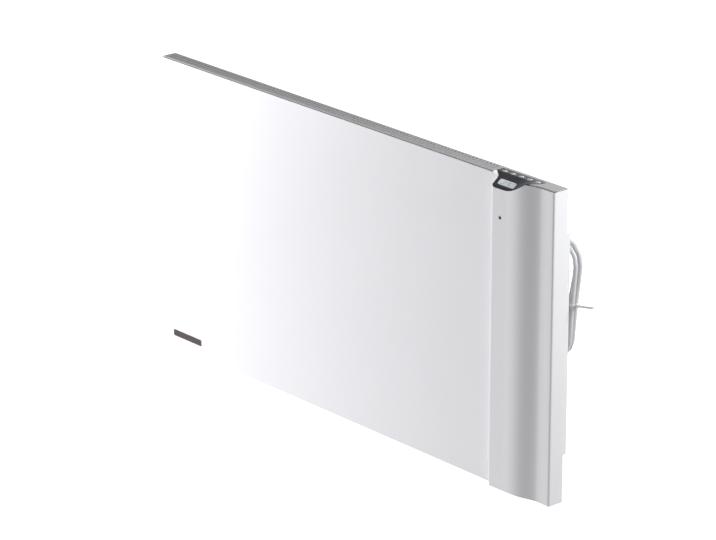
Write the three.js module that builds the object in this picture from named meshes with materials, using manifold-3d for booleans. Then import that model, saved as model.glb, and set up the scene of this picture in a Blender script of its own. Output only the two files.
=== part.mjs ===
// Wall panel convector heater, seen as it hangs on its wall bracket.
//
// Millimetres, +Z up, +Y towards the wall, -Y towards the room. The origin is the centre of
// the bracket's rear face, so the wall is the plane y = 0 and the front panel faces -Y.

import * as THREE from 'three';
import { mergeVertices, mergeGeometries } from 'three/addons/utils/BufferGeometryUtils.js';
import Module from 'manifold-3d';

const wasm = await Module();
wasm.setup();

// ---------------------------------------------------------------- driving dimensions

const FIT = 0.3;                    // gap between two pieces that touch

const HEATER = {
  width: 894,
  height: 483,
  sideDepth: 27,                    // folded side of the front panel
  wallDistance: 54,                 // front face to wall
  centreHeight: 250,                // bracket centre above the heater's lower edge
};

const PANEL = {
  gauge: 0.9,
  foldRadius: 3,
  stepFromRight: 118,               // sharp left step of the raised wave
  stepRadius: 1.6,
  stepRise: 10.7,
  crestRise: 10,                    // rise where the wave starts to fall
  crestFromRight: 88,
  troughFromRight: 24,
  fallSkew: 1.6,                    // above 1, the wave falls late and steeply
};

const BEZEL = {
  wall: 2,
  leftFromRight: 128,
  rightFromRight: 38.5,
  rightCorner: 3,                   // how far the right end's corner lies behind the slant
  bandBack: 21,                     // rear edge of the button band, behind the front face
  bandFront: 9,                     // where the slanted face starts
  slantDrop: 14.7,                  // drop of the slanted face over its full run
  slantRun: 20,
  lobeDrop: 18.3,                   // lowest edge on the wave
  lobeFlatTo: 94,                   // the lower edge is level from the left to here
  lobeEnd: 52,                      // and has risen to the top here
  cornerRadius: 3.8,
  backSkirt: 6,
  postWidth: 3,                     // posts on the rear wall that carry the button board
  postDepth: 2,
};

const BUTTON = {
  count: 5,
  pitch: 17.1,
  firstFromRight: 116,
  behindFront: 13.2,
  length: 10.5,
  breadth: 6.8,
  proud: 0.5,
  travel: 0.8,
  stemLength: 3.4,
  rim: 0.7,
  rimThickness: 1,
  running: 0.2,                     // gap all round in its hole
};

const DISPLAY = {
  leftFromRight: 111,
  rightFromRight: 76,
  slopeFrom: 10.5,                  // along the slanted face from its upper edge
  slopeTo: 21.5,
  windowThickness: 1.2,
  moduleThickness: 3,
  ledge: 1.2,
  boardThickness: 1.6,
  boardOverhang: 3,
};

const SENSOR = {
  fromRight: 101,
  belowTop: 61.6,
  lensDiameter: 5,
  flangeDiameter: 9,
  flangeThickness: 1,
  canDiameter: 9.2,
  canHeight: 4.5,
};

const KEY_MAT = { thickness: 1, domeDiameter: 5, domeHeight: 2.5, overhang: 4.5, halfBreadth: 3.4 };

const GRILLE = {
  height: 7.5,
  thickness: 1.5,
  groove: 1.6,                      // open groove behind the front panel's top edge
  slotPitch: 7.5,
  slotWidth: 3.2,
  slotMargin: 4.5,
  plainEnd: 9,
};

const INLET = {
  recess: 2,
  thickness: 1.5,
  slotLength: 24,
  slotPitch: 32,
  slotMargin: 4,
  plateGauge: 0.8,
  plateSlotHeight: 5,
  plateSlotRows: 2,
  plateFirstRow: 26,
  plateRowPitch: 16,
};

const COVER = {
  standOut: 7,                      // rear face behind the frame's rear edge
  flushTo: 68,                      // the upper part, this far below the top, doesn't stand out
  bottomRise: 74,
  gauge: 0.8,
  rimDepth: 4,
  slotLength: 30,
  slotHeight: 5,
  slotPitch: 44,
  slotCount: 14,
  slotRise: 22,                     // first louvre row above the cover's lower edge
  rowPitch: 14,
};

const BRACKET = {
  width: 560,
  railHeight: 30,
  gauge: 2,
  railSpacing: 180,                 // between the rails' centres
  railDepth: 16,
  spineWidth: 60,
  hookFromCentre: 200,
  hookWidth: 24,
  lipHeight: 12,
  hookThroat: 1.2,                  // play of the cover's sheet between flange and lip
  screwSlotLength: 20,
  screwSlotWidth: 7,
  screwFromCentre: 240,
  spineHole: 7,
  spineHoleFromCentre: 70,
};

const LIFT = 15;                    // travel that takes the heater off its hooks

const CLIP = { gauge: 0.8, width: 16, noseReach: 5, noseHeight: 7 };

const SIDE_RAIL = { gauge: 1.2, width: 13, lowEnd: 8, highEnd: 8 };

const SCREW = { fromRailEnd: 16, shank: 3.6, length: 8, head: 7.5, headHeight: 2 };

const PARTITION = { fromRight: 150, gauge: 1, wireHole: 9 };

const ELEMENT = {
  leftGap: 90.5,                    // left end of the fins to the frame's left side
  rightGap: 52,                     // right end of the fins to the partition
  rise: 42,                         // centre above the cover's lower edge
  behindFront: 17,
  finDepth: 20,
  finHeight: 56,
  finThickness: 2,
  hub: 14,
  rod: 8,
  rodOverhang: 26,
  pin: 3,
  pinLength: 7,
  bracketGauge: 1.5,
  bracketHeight: 70,
  bracketFoot: 14,
  bracketFromFins: 10,
};

const SHIELD = { gauge: 0.6, height: 80, foot: 3.4, endGap: 4 };

const CUTOUT = { diameter: 14, height: 6, rise: 36, fromRight: 290, flange: 24 };

const BOARD = {
  width: 100,
  height: 150,
  thickness: 1.6,
  leftGap: 20,                      // from the partition
  belowTop: 150,                    // upper edge below the heater's top
  carrierDepth: 4.5,
  carrierPlate: 2,
  carrierMargin: 3,
  bossDiameter: 7,
  edge: 8,                          // boss centre to board edge
};

const RELAY = { width: 29, depth: 15, height: 13, left: 10, down: 22 };
const CAPACITOR = { width: 26, depth: 17, height: 10, left: 10, down: 46 };
const TRANSFORMER = { width: 32, depth: 19, height: 27, left: 56, down: 50 };
const HEAT_SINK = { width: 30, depth: 14, height: 36, left: 56, down: 88, fins: 5, web: 2, fin: 1.6 };
const TERMINALS = { width: 34, depth: 14, height: 15, left: 12, down: 118, ways: 3, wayHole: 5 };

const WIRE = {
  diameter: 2.4,
  sides: 8,
  tab: 3,                           // a wire's place on the cut-out, from its centre
  standOff: 5,                      // straight end where a wire leaves a part
  straight: 10,                     // straight run below the terminal block
  entry: 4,                         // length inside the terminal block
  loop: 22,                         // drop of the last bend to the element's left pin
};

const RIBBON = { thickness: 0.9, width: 12, jog: 5, bend: 12, clear: 3, overlap: 8 };

const ROOM_SENSOR = { diameter: 5, length: 12, fromRight: 60, rise: 20, clipGauge: 1, clipWidth: 8 };

const NAME_PLATE = { left: 20.5, right: 89, low: 17.5, high: 28, thickness: 0.6, corner: 2 };

const OUTLET = {
  fromRight: 57,
  belowTop: 28,                     // upper end below the heater's top
  width: 24,
  height: 22,
  depth: 25.5,
  spigotDepth: 4,
};

const PROTECTOR = { length: 30, upper: 12.6, lower: 9.4, ribs: 4, ribDepth: 0.9 };

const CORD = { diameter: 7, sides: 10 };

const HANK = {
  centreX: 417.5,
  centreZ: 57,
  centreY: -9.5,
  run: 118,                         // straight part, 17 diameters
  innerRadius: 21,                  // 3 diameters
  pitch: 8.2,
  layerPitch: 7.5,
  turns: 3,
  drawRight: 1,                     // how far the waist draws the right legs in
  drawLeft: 14,
  lean: 5.5,                        // degrees, upper end away from the heater
  stepsPerTurn: 24,
  sides: 6,
};

const TIE = { width: 3.6, thickness: 1.1, clearance: 0.35, tail: 24, tailBack: 8, tailTilt: 10, head: 5.2 };

const PLUG = {
  centreX: 370,
  centreY: -12.5,
  width: 35,
  thickness: 22,
  length: 38,
  corner: 8,
  belowCover: 7,
  sleeveLength: 26,
  sleeveUpper: 8.4,
  sleeveLower: 9.8,
  pinPitch: 19,
  pinDiameter: 4.8,
  pinLength: 19,
};

const SPACER = { fromEnd: 122, rise: 30, base: 24, tip: 16, wallGap: 0.3 };

// ---------------------------------------------------------------- derived places

const RIGHT = HEATER.width / 2;
const LEFT = -RIGHT;
const FRONT = -HEATER.wallDistance;
const FRAME_BACK = FRONT + HEATER.sideDepth;
const BOTTOM = -HEATER.centreHeight;
const TOP = BOTTOM + HEATER.height;
const PANEL_INSIDE = FRONT + PANEL.gauge;
const INSIDE_LEFT = LEFT + PANEL.gauge + FIT;
const INSIDE_RIGHT = RIGHT - PANEL.gauge - FIT;

const COVER_BACK = FRAME_BACK + COVER.standOut;
const COVER_FACE = COVER_BACK - COVER.gauge;
const COVER_BOTTOM = BOTTOM + COVER.bottomRise;
const COVER_TOP = TOP - GRILLE.height - FIT;
const COVER_STEP = TOP - COVER.flushTo;

const INLET_TOP = BOTTOM + INLET.recess + INLET.thickness;
const PARTITION_X = RIGHT - PARTITION.fromRight;
const BOARD_LEFT = PARTITION_X + PARTITION.gauge + BOARD.leftGap;
const BOARD_TOP = TOP - BOARD.belowTop;
const BOARD_FRONT = COVER_FACE - FIT * 2 - BOARD.carrierDepth - BOARD.thickness;

const ELEMENT_Y = FRONT + ELEMENT.behindFront;
const ELEMENT_Z = COVER_BOTTOM + ELEMENT.rise;
const ELEMENT_RIGHT = PARTITION_X - ELEMENT.rightGap;
const ELEMENT_LEFT = INSIDE_LEFT + ELEMENT.leftGap;
const SHIELD_BACK = COVER_FACE - FIT - SHIELD.foot;

const UPPER_RAIL = BRACKET.railSpacing / 2;
const LOWER_RAIL = -BRACKET.railSpacing / 2;
const SEAT = UPPER_RAIL + BRACKET.railHeight / 2;            // height the heater hangs at

const SLANT = BEZEL.slantDrop / BEZEL.slantRun;
const SLANT_ANGLE = Math.atan(SLANT);

const LAYER_FRONT = HANK.centreY - HANK.layerPitch / 2;
const LAYER_BACK = HANK.centreY + HANK.layerPitch / 2;

// ---------------------------------------------------------------- solid helpers

const X_AXIS = new THREE.Vector3(1, 0, 0);
const Y_AXIS = new THREE.Vector3(0, 1, 0);
const Z_AXIS = new THREE.Vector3(0, 0, 1);

function toSolid(geometry) {
  const bare = geometry.clone();
  bare.deleteAttribute('normal');
  bare.deleteAttribute('uv');
  const merged = mergeVertices(bare, 1e-4);
  return new wasm.Manifold(new wasm.Mesh({
    numProp: 3,
    vertProperties: new Float32Array(merged.attributes.position.array),
    triVerts: new Uint32Array(merged.index.array),
  }));
}

function toGeometry(solid) {
  const mesh = solid.getMesh();
  const geometry = new THREE.BufferGeometry();
  geometry.setAttribute('position', new THREE.BufferAttribute(mesh.vertProperties, 3));
  geometry.setIndex(new THREE.BufferAttribute(mesh.triVerts, 1));
  const faceted = geometry.toNonIndexed();
  faceted.computeVertexNormals();
  return faceted;
}

function join(...pieces) {
  const solids = pieces.map(toSolid);
  return toGeometry(solids.slice(1).reduce((whole, piece) => whole.add(piece), solids[0]));
}

function cut(geometry, ...tools) {
  return toGeometry(tools.reduce((whole, tool) => whole.subtract(toSolid(tool)), toSolid(geometry)));
}

// Separate bodies as one cutting tool, such as a row of slots.
function group(pieces) {
  return mergeGeometries(pieces.map((piece) => {
    const bare = piece.index ? piece.toNonIndexed() : piece.clone();
    bare.deleteAttribute('uv');
    return bare;
  }));
}

function box(x0, x1, y0, y1, z0, z1) {
  const geometry = new THREE.BoxGeometry(x1 - x0, y1 - y0, z1 - z0);
  return geometry.translate((x0 + x1) / 2, (y0 + y1) / 2, (z0 + z1) / 2);
}

function shapeOf(outline, holes = []) {
  const shape = new THREE.Shape(outline.map(([u, v]) => new THREE.Vector2(u, v)));
  shape.holes = holes.map((hole) => new THREE.Path(hole.map(([u, v]) => new THREE.Vector2(u, v))));
  return shape;
}

// Extrude an outline along an axis: (x, y) along z, (x, z) along y or (y, z) along x.
function prism(axis, outline, from, to, holes = []) {
  const options = { depth: to - from, bevelEnabled: false, curveSegments: 8 };
  const geometry = new THREE.ExtrudeGeometry(shapeOf(outline, holes), options);
  if (axis === 'z') {
    return geometry.translate(0, 0, from);
  }
  if (axis === 'x') {
    geometry.applyMatrix4(new THREE.Matrix4().makeBasis(Y_AXIS, Z_AXIS, X_AXIS));
    return geometry.translate(from, 0, 0);
  }
  geometry.applyMatrix4(new THREE.Matrix4().makeBasis(X_AXIS, Z_AXIS, Y_AXIS.clone().negate()));
  return geometry.translate(0, to, 0);
}

function rectangle(u0, u1, v0, v1) {
  return [[u0, v0], [u1, v0], [u1, v1], [u0, v1]];
}

function arc(u, v, radius, fromDegrees, toDegrees, steps) {
  const points = [];
  for (let i = 0; i <= steps; i += 1) {
    const angle = THREE.MathUtils.degToRad(fromDegrees + (toDegrees - fromDegrees) * i / steps);
    points.push([u + radius * Math.cos(angle), v + radius * Math.sin(angle)]);
  }
  return points;
}

function roundedRectangle(u0, u1, v0, v1, radius, steps = 3) {
  return [
    ...arc(u1 - radius, v1 - radius, radius, 0, 90, steps),
    ...arc(u0 + radius, v1 - radius, radius, 90, 180, steps),
    ...arc(u0 + radius, v0 + radius, radius, 180, 270, steps),
    ...arc(u1 - radius, v0 + radius, radius, 270, 360, steps),
  ];
}

// Turn a profile of [radius, height] points; heights run along +Y before it is turned.
function turned(profile, segments, axis = 'y') {
  const points = profile.map(([radius, height]) => new THREE.Vector2(radius, height));
  const geometry = new THREE.LatheGeometry(points, segments);
  if (axis === 'z') {
    geometry.rotateX(Math.PI / 2);
  }
  if (axis === 'x') {
    geometry.rotateZ(-Math.PI / 2);
  }
  return geometry;
}

function rod(axis, diameter, from, to, a, b, segments = 16) {
  const r = diameter / 2;
  const geometry = turned([[0, from], [r, from], [r, to], [0, to]], segments, axis);
  if (axis === 'y') {
    return geometry.translate(a, 0, b);
  }
  return axis === 'z' ? geometry.translate(a, b, 0) : geometry.translate(0, a, b);
}

function tube(points, diameter, sides, steps) {
  const curve = new THREE.CatmullRomCurve3(points.map((p) => new THREE.Vector3(...p)), false, 'centripetal');
  const ring = arc(0, 0, diameter / 2, 0, 360, sides).slice(0, -1);
  return new THREE.ExtrudeGeometry(shapeOf(ring), { steps, extrudePath: curve, bevelEnabled: false });
}

// Triangles that close an outline, wound as the outline is in the plane of two of its axes.
function capFaces(section, plane) {
  const flat = section.map((p) => new THREE.Vector2(p[plane[0]], p[plane[1]]));
  const clockwise = THREE.ShapeUtils.isClockWise(flat);
  return THREE.ShapeUtils.triangulateShape(flat, []).map((face) => {
    const same = THREE.ShapeUtils.isClockWise(face.map((i) => flat[i])) === clockwise;
    return same ? face : face.reverse();
  });
}

// Join equal-length outlines, given as lists of 3-D points, into one closed body.
// The outlines run anticlockwise alike, as seen from the last one back along the body.
function loft(sections, plane) {
  const count = sections[0].length;
  const last = (sections.length - 1) * count;
  const faces = [];
  for (let a = 0; a < last; a += count) {
    for (let i = 0; i < count; i += 1) {
      const j = (i + 1) % count;
      faces.push([a + i, a + j, a + count + j], [a + i, a + count + j, a + count + i]);
    }
  }
  capFaces(sections[0], plane).forEach((face) => faces.push([...face].reverse()));
  capFaces(sections.at(-1), plane).forEach((face) => faces.push(face.map((i) => last + i)));
  const geometry = new THREE.BufferGeometry();
  geometry.setAttribute('position', new THREE.Float32BufferAttribute(sections.flat(2), 3));
  geometry.setIndex(faces.flat());
  return geometry.toNonIndexed();
}

// Sheet of one gauge along an open path of plan points, thickened to the path's left.
function sheetOutline(path, gauge) {
  const inner = path.map((point, i) => {
    const before = path[Math.max(i - 1, 0)];
    const after = path[Math.min(i + 1, path.length - 1)];
    const into = new THREE.Vector2(point[0] - before[0], point[1] - before[1]).normalize();
    const out = new THREE.Vector2(after[0] - point[0], after[1] - point[1]).normalize();
    const along = into.clone().add(out).normalize();
    const share = Math.max(along.dot(into.lengthSq() ? into : out), 0.5);
    return [point[0] - along.y * gauge / share, point[1] + along.x * gauge / share];
  });
  return [...path, ...inner.reverse()];
}

// ---------------------------------------------------------------- the front panel's wave

// How far the front stands proud of the flat panel at a distance from the right edge.
function waveRise(fromRight) {
  if (fromRight > PANEL.stepFromRight || fromRight < PANEL.troughFromRight) {
    return 0;
  }
  if (fromRight >= PANEL.crestFromRight) {
    const share = (fromRight - PANEL.crestFromRight) / (PANEL.stepFromRight - PANEL.crestFromRight);
    return PANEL.crestRise + (PANEL.stepRise - PANEL.crestRise) * share;
  }
  const fall = (PANEL.crestFromRight - fromRight) / (PANEL.crestFromRight - PANEL.troughFromRight);
  return PANEL.crestRise * (1 + Math.cos(Math.PI * fall ** PANEL.fallSkew)) / 2;
}

function waveStations(fromRight, toRight, steps) {
  return Array.from({ length: steps + 1 }, (_, i) => fromRight + (toRight - fromRight) * i / steps);
}

function panelPath() {
  const { foldRadius: fold, stepRadius: r } = PANEL;
  const stepX = RIGHT - PANEL.stepFromRight;
  const crest = FRONT - PANEL.stepRise;
  return [
    [LEFT, FRAME_BACK],
    ...arc(LEFT + fold, FRONT + fold, fold, 180, 270, 4),
    [stepX, FRONT],
    ...arc(stepX + r, crest + r, r, 180, 270, 2),
    ...waveStations(PANEL.crestFromRight, PANEL.troughFromRight, 12)
      .map((fromRight) => [RIGHT - fromRight, FRONT - waveRise(fromRight)]),
    ...arc(RIGHT - fold, FRONT + fold, fold, 270, 360, 4),
    [RIGHT, FRAME_BACK],
  ];
}

// ---------------------------------------------------------------- the control bezel's form

function slantDropAt(behindFront) {
  return Math.max(0, SLANT * (BEZEL.bandFront - behindFront));
}

// Left end of the bezel's lobe, the part that comes forward onto the wave.
const LOBE_LEFT = PANEL.stepFromRight - PANEL.gauge - FIT;
const LOBE_SHOULDER = LOBE_LEFT - BEZEL.cornerRadius;

// Width of the small steps that take the bezel from the wave back behind the flat panel.
const JOG = 0.3;

// Lower edge of the bezel where it meets the wave, as a drop below the top.
function lobeDropAt(fromRight) {
  if (fromRight > LOBE_SHOULDER) {
    const { cornerRadius: r } = BEZEL;
    return BEZEL.lobeDrop - r + Math.sqrt(Math.max(0, r ** 2 - (fromRight - LOBE_SHOULDER) ** 2));
  }
  const share = (BEZEL.lobeFlatTo - fromRight) / (BEZEL.lobeFlatTo - BEZEL.lobeEnd);
  return BEZEL.lobeDrop * Math.cos(Math.PI / 2 * THREE.MathUtils.clamp(share, 0, 1));
}

// Front edge of the bezel left of the wave, where it runs back behind the flat panel.
function bezelLeftEdge(fromRight) {
  const share = (fromRight - LOBE_LEFT) / (BEZEL.leftFromRight - LOBE_LEFT);
  const start = PANEL.gauge + FIT + 0.1;
  return THREE.MathUtils.lerp(start, BEZEL.bandFront, THREE.MathUtils.clamp(share, 0, 1) ** 0.8);
}

// Front edge of the bezel right of the lobe, where it runs back to the band's right end.
function bezelRightEdge(fromRight) {
  const start = -waveRise(BEZEL.lobeEnd) + PANEL.gauge + 2 * FIT;
  const share = (BEZEL.lobeEnd - fromRight) / (BEZEL.lobeEnd - BEZEL.rightFromRight);
  return THREE.MathUtils.lerp(start, BEZEL.bandFront + BEZEL.rightCorner, share);
}

// Bezel outline across one station: distances behind the front face and drops below the top.
function bezelSection(fromRight) {
  const x = RIGHT - fromRight;
  const thin = JOG / 2;
  let front = -waveRise(fromRight);
  let edgeDrop = Math.min(slantDropAt(front), lobeDropAt(fromRight));
  let skirt = Math.max(lobeDropAt(fromRight), edgeDrop + thin);
  if (fromRight > LOBE_LEFT) {
    front = bezelLeftEdge(fromRight);
    edgeDrop = slantDropAt(front);
    skirt = edgeDrop + BEZEL.wall;
  } else if (fromRight < BEZEL.lobeEnd) {
    front = bezelRightEdge(fromRight);
    edgeDrop = 0;
    skirt = Math.min(BEZEL.wall, thin + BEZEL.lobeEnd - JOG - fromRight);
  }
  return { x, front, bend: Math.max(BEZEL.bandFront, front + 0.5), edgeDrop, skirt };
}

function lobeCornerStations() {
  return arc(LOBE_SHOULDER, 0, BEZEL.cornerRadius, 0, 90, 3).map(([fromRight]) => fromRight);
}

function bezelBody() {
  const stations = [
    ...waveStations(BEZEL.leftFromRight, LOBE_LEFT + JOG / 6, 5),
    ...lobeCornerStations(),
    ...waveStations(BEZEL.lobeFlatTo, BEZEL.lobeEnd, 8),
    ...waveStations(BEZEL.lobeEnd - JOG, BEZEL.rightFromRight, 3),
  ];
  return loft(stations.map((fromRight) => {
    const s = bezelSection(fromRight);
    return [
      [s.x, FRONT + BEZEL.bandBack, TOP],
      [s.x, FRONT + s.bend, TOP],
      [s.x, FRONT + s.front, TOP - s.edgeDrop],
      [s.x, FRONT + s.front, TOP - s.skirt],
      [s.x, FRONT + s.front + PANEL.gauge + 2 * FIT, TOP - s.skirt],
      [s.x, FRONT + BEZEL.bandBack, TOP - BEZEL.backSkirt],
    ];
  }), [1, 2]);
}

// The bezel's open underside, one wall in from its outer form.
function bezelHollow() {
  const { wall } = BEZEL;
  const low = TOP - BEZEL.lobeDrop - 2 * wall;
  const stations = [
    ...waveStations(BEZEL.leftFromRight - wall, LOBE_LEFT + JOG / 6, 3),
    LOBE_LEFT - wall,
    ...waveStations(BEZEL.lobeFlatTo, BEZEL.lobeEnd, 5),
    ...waveStations(BEZEL.lobeEnd - JOG, BEZEL.rightFromRight + wall, 2),
  ];
  return loft(stations.map((fromRight) => {
    const s = bezelSection(fromRight);
    const front = s.front + wall;
    const drop = s.edgeDrop * Math.max(0, (s.bend - front) / (s.bend - s.front)) + wall * 1.2;
    return [
      [s.x, FRONT + BEZEL.bandBack - wall, TOP - wall],
      [s.x, FRONT + Math.max(s.bend - wall / 4, front + JOG), TOP - wall],
      [s.x, FRONT + front, TOP - drop],
      [s.x, FRONT + front, low],
      [s.x, FRONT + BEZEL.bandBack - wall, low],
    ];
  }), [1, 2]);
}

// A box laid on the slanted face: x from the right edge, s down the slope, n into the bezel.
function onSlant(leftFromRight, rightFromRight, s0, s1, n0, n1) {
  const geometry = box(RIGHT - leftFromRight, RIGHT - rightFromRight, -s1, -s0, -n1, -n0);
  geometry.rotateX(SLANT_ANGLE);
  return geometry.translate(0, FRONT + BEZEL.bandFront, TOP);
}

function buttonX(index) {
  return RIGHT - BUTTON.firstFromRight + BUTTON.pitch * index;
}

function ellipse(length, breadth, z0, z1, x) {
  const ring = arc(0, 0, 0.5, 0, 360, 14).slice(0, -1).map(([u, v]) => [u * length, v * breadth]);
  return prism('z', ring, z0, z1).translate(x, FRONT + BUTTON.behindFront, 0);
}

// ---------------------------------------------------------------- casing

function frontPanel() {
  const sheet = prism('z', sheetOutline(panelPath(), PANEL.gauge), BOTTOM, TOP);
  const r = BEZEL.cornerRadius;
  const lobe = [
    ...arc(RIGHT - LOBE_SHOULDER, TOP - BEZEL.lobeDrop + r, r + FIT, 180, 270, 3),
    ...waveStations(BEZEL.lobeFlatTo, BEZEL.lobeEnd, 8)
      .map((fromRight) => [RIGHT - fromRight, TOP - lobeDropAt(fromRight) - FIT]),
    [RIGHT - BEZEL.lobeEnd + 2, TOP - FIT],
  ];
  const over = TOP + 5;
  const lobeCut = prism('y', [...lobe, [lobe.at(-1)[0], over], [lobe[0][0], over]],
    FRONT - PANEL.stepRise - 5, FRONT + BEZEL.bandFront);
  const slantAt = (behindFront) => TOP - slantDropAt(behindFront);
  const wall = PANEL.stepRise + 1;
  const stepCut = prism('x', [
    [FRONT - wall, slantAt(-wall)],
    [FRONT + BEZEL.bandFront, TOP],
    [FRONT + BEZEL.bandFront, over],
    [FRONT - wall, over],
  ], lobe[0][0] - PANEL.gauge - JOG, lobe[0][0] + JOG / 6);
  const stepX = RIGHT - PANEL.stepFromRight;
  const flareCut = prism('y', [
    [RIGHT - BEZEL.leftFromRight, TOP],
    [stepX + 0.5, slantAt(0)],
    [stepX + 0.5, over],
    [RIGHT - BEZEL.leftFromRight, over],
  ], FRONT - 1, FRONT + PANEL.gauge + 1);
  const lensHole = rod('y', SENSOR.lensDiameter + 2 * FIT, FRONT - wall - 2, FRONT + 1,
    RIGHT - SENSOR.fromRight, TOP - SENSOR.belowTop);
  return join(cut(sheet, lobeCut, stepCut, flareCut, lensHole), bezelFlare());
}

// White corner that closes the panel back to the bezel's left end.
function bezelFlare() {
  const left = BEZEL.leftFromRight;
  const right = PANEL.stepFromRight;
  const inSheet = PANEL.gauge / 2;
  return loft(waveStations(left + 0.1, right + JOG / 2, 5).map((fromRight) => {
    const x = RIGHT - fromRight;
    const edge = slantDropAt(0) * Math.max(0, left - fromRight) / (left - right);
    const inner = bezelLeftEdge(fromRight) - FIT;
    const innerDrop = slantDropAt(inner) + 0.2;
    return [
      [x, FRONT + inSheet, TOP - edge - 0.2],
      [x, FRONT + inSheet, TOP - edge - PANEL.gauge],
      [x, FRONT + inner, TOP - innerDrop - PANEL.gauge],
      [x, FRONT + inner, TOP - innerDrop],
    ];
  }), [1, 2]);
}

// Plan outline of a grille that fills the frame from a front gap back to its rear edge.
function grilleOutline(frontGap, back) {
  const innerFront = (fromRight) => PANEL_INSIDE + frontGap - waveRise(fromRight);
  const shoulder = PANEL.stepFromRight - PANEL.gauge - frontGap;
  const wave = [shoulder, ...waveStations(PANEL.crestFromRight, PANEL.troughFromRight, 12)];
  const corner = PANEL.foldRadius;
  return [
    [INSIDE_LEFT, back],
    [INSIDE_LEFT, innerFront(HEATER.width) + corner],
    [INSIDE_LEFT + corner, innerFront(HEATER.width)],
    [RIGHT - shoulder, innerFront(HEATER.width)],
    ...wave.map((fromRight) => [RIGHT - fromRight, innerFront(fromRight)]),
    [INSIDE_RIGHT - corner, innerFront(0)],
    [INSIDE_RIGHT, innerFront(0) + corner],
    [INSIDE_RIGHT, back],
  ];
}

function topGrille() {
  const back = FRAME_BACK;
  const front = PANEL_INSIDE + GRILLE.groove;
  const slots = [];
  const lastSlot = RIGHT - BEZEL.leftFromRight - GRILLE.plainEnd;
  for (let x = INSIDE_LEFT + GRILLE.plainEnd; x + GRILLE.slotWidth < lastSlot; x += GRILLE.slotPitch) {
    slots.push(box(x, x + GRILLE.slotWidth, front + GRILLE.slotMargin, back - GRILLE.slotMargin,
      TOP - GRILLE.thickness - 1, TOP + 1));
  }
  const plate = prism('z', grilleOutline(GRILLE.groove, back), TOP - GRILLE.thickness, TOP);
  const lipBack = box(INSIDE_LEFT, INSIDE_RIGHT, back - GRILLE.thickness, back, TOP - GRILLE.height, TOP - 0.1);
  const lipFront = box(INSIDE_LEFT, lastSlot, front, front + GRILLE.thickness, TOP - GRILLE.height, TOP - 0.1);
  const notch = prism('z', [
    [RIGHT - BEZEL.leftFromRight - FIT, FRONT + BEZEL.bandBack + FIT],
    [RIGHT - BEZEL.leftFromRight - FIT, FRONT - PANEL.stepRise],
    [RIGHT - BEZEL.lobeEnd + FIT * 1.5, FRONT - PANEL.stepRise],
    [RIGHT - BEZEL.lobeEnd + FIT * 1.5, FRONT - waveRise(BEZEL.lobeEnd)],
    [RIGHT - BEZEL.rightFromRight + FIT, FRONT + BEZEL.bandFront + BEZEL.rightCorner - FIT],
    [RIGHT - BEZEL.rightFromRight + FIT, FRONT + BEZEL.bandBack + FIT],
  ], TOP - GRILLE.height - 1, TOP + 1);
  return cut(join(plate, lipBack, lipFront), notch, group(slots));
}

function bottomGrille() {
  const back = FRAME_BACK - INLET.plateGauge - FIT;
  const front = PANEL_INSIDE + FIT;
  const slots = [];
  for (let x = INSIDE_LEFT + INLET.slotPitch - INLET.slotLength; x + INLET.slotLength < INSIDE_RIGHT;
    x += INLET.slotPitch) {
    slots.push(box(x, x + INLET.slotLength, front + INLET.slotMargin, back - INLET.slotMargin,
      BOTTOM, INLET_TOP + 1));
  }
  return cut(prism('z', grilleOutline(FIT, back), BOTTOM + INLET.recess, INLET_TOP), group(slots));
}

function lowerRearPlate() {
  const front = FRAME_BACK - INLET.plateGauge;
  const slots = [];
  for (let row = 0; row < INLET.plateSlotRows; row += 1) {
    const z = BOTTOM + INLET.plateFirstRow + INLET.plateRowPitch * row;
    for (let x = INSIDE_LEFT + INLET.slotPitch; x + INLET.slotLength * 2 < INSIDE_RIGHT;
      x += INLET.slotPitch * 2) {
      slots.push(box(x, x + INLET.slotLength * 2, front - 1, FRAME_BACK + 1, z, z + INLET.plateSlotHeight));
    }
  }
  const plate = box(INSIDE_LEFT, INSIDE_RIGHT, front, FRAME_BACK, BOTTOM + INLET.recess, COVER_BOTTOM - FIT);
  return cut(plate, group(slots));
}

function hookSlot(x, halfWidth) {
  const armBottom = SEAT - BRACKET.gauge;
  return box(x - halfWidth, x + halfWidth, COVER_FACE - 1, COVER_BACK + 1, armBottom - LIFT - 2, SEAT + FIT);
}

// Height of the lower rail's flange, where its spring tongues start.
const TONGUE_Z = LOWER_RAIL + BRACKET.railHeight / 2 - BRACKET.gauge;

function clipSlot(x) {
  const half = CLIP.width / 2 + 1;
  const z = TONGUE_Z;
  return box(x - half, x + half, COVER_FACE - 1, COVER_BACK + 1, z - LIFT - 2, z + CLIP.noseHeight + 2);
}

// The rear cover's tray: its lower part stands out behind its upper part.
function coverForm(inset, rim) {
  const left = INSIDE_LEFT + inset;
  const right = INSIDE_RIGHT - inset;
  return join(
    box(left, right, rim, COVER_BACK - inset, COVER_BOTTOM + inset, COVER_STEP - inset),
    box(left, right, rim, FRAME_BACK - inset, COVER_BOTTOM + inset, COVER_TOP - inset),
  );
}

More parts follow.
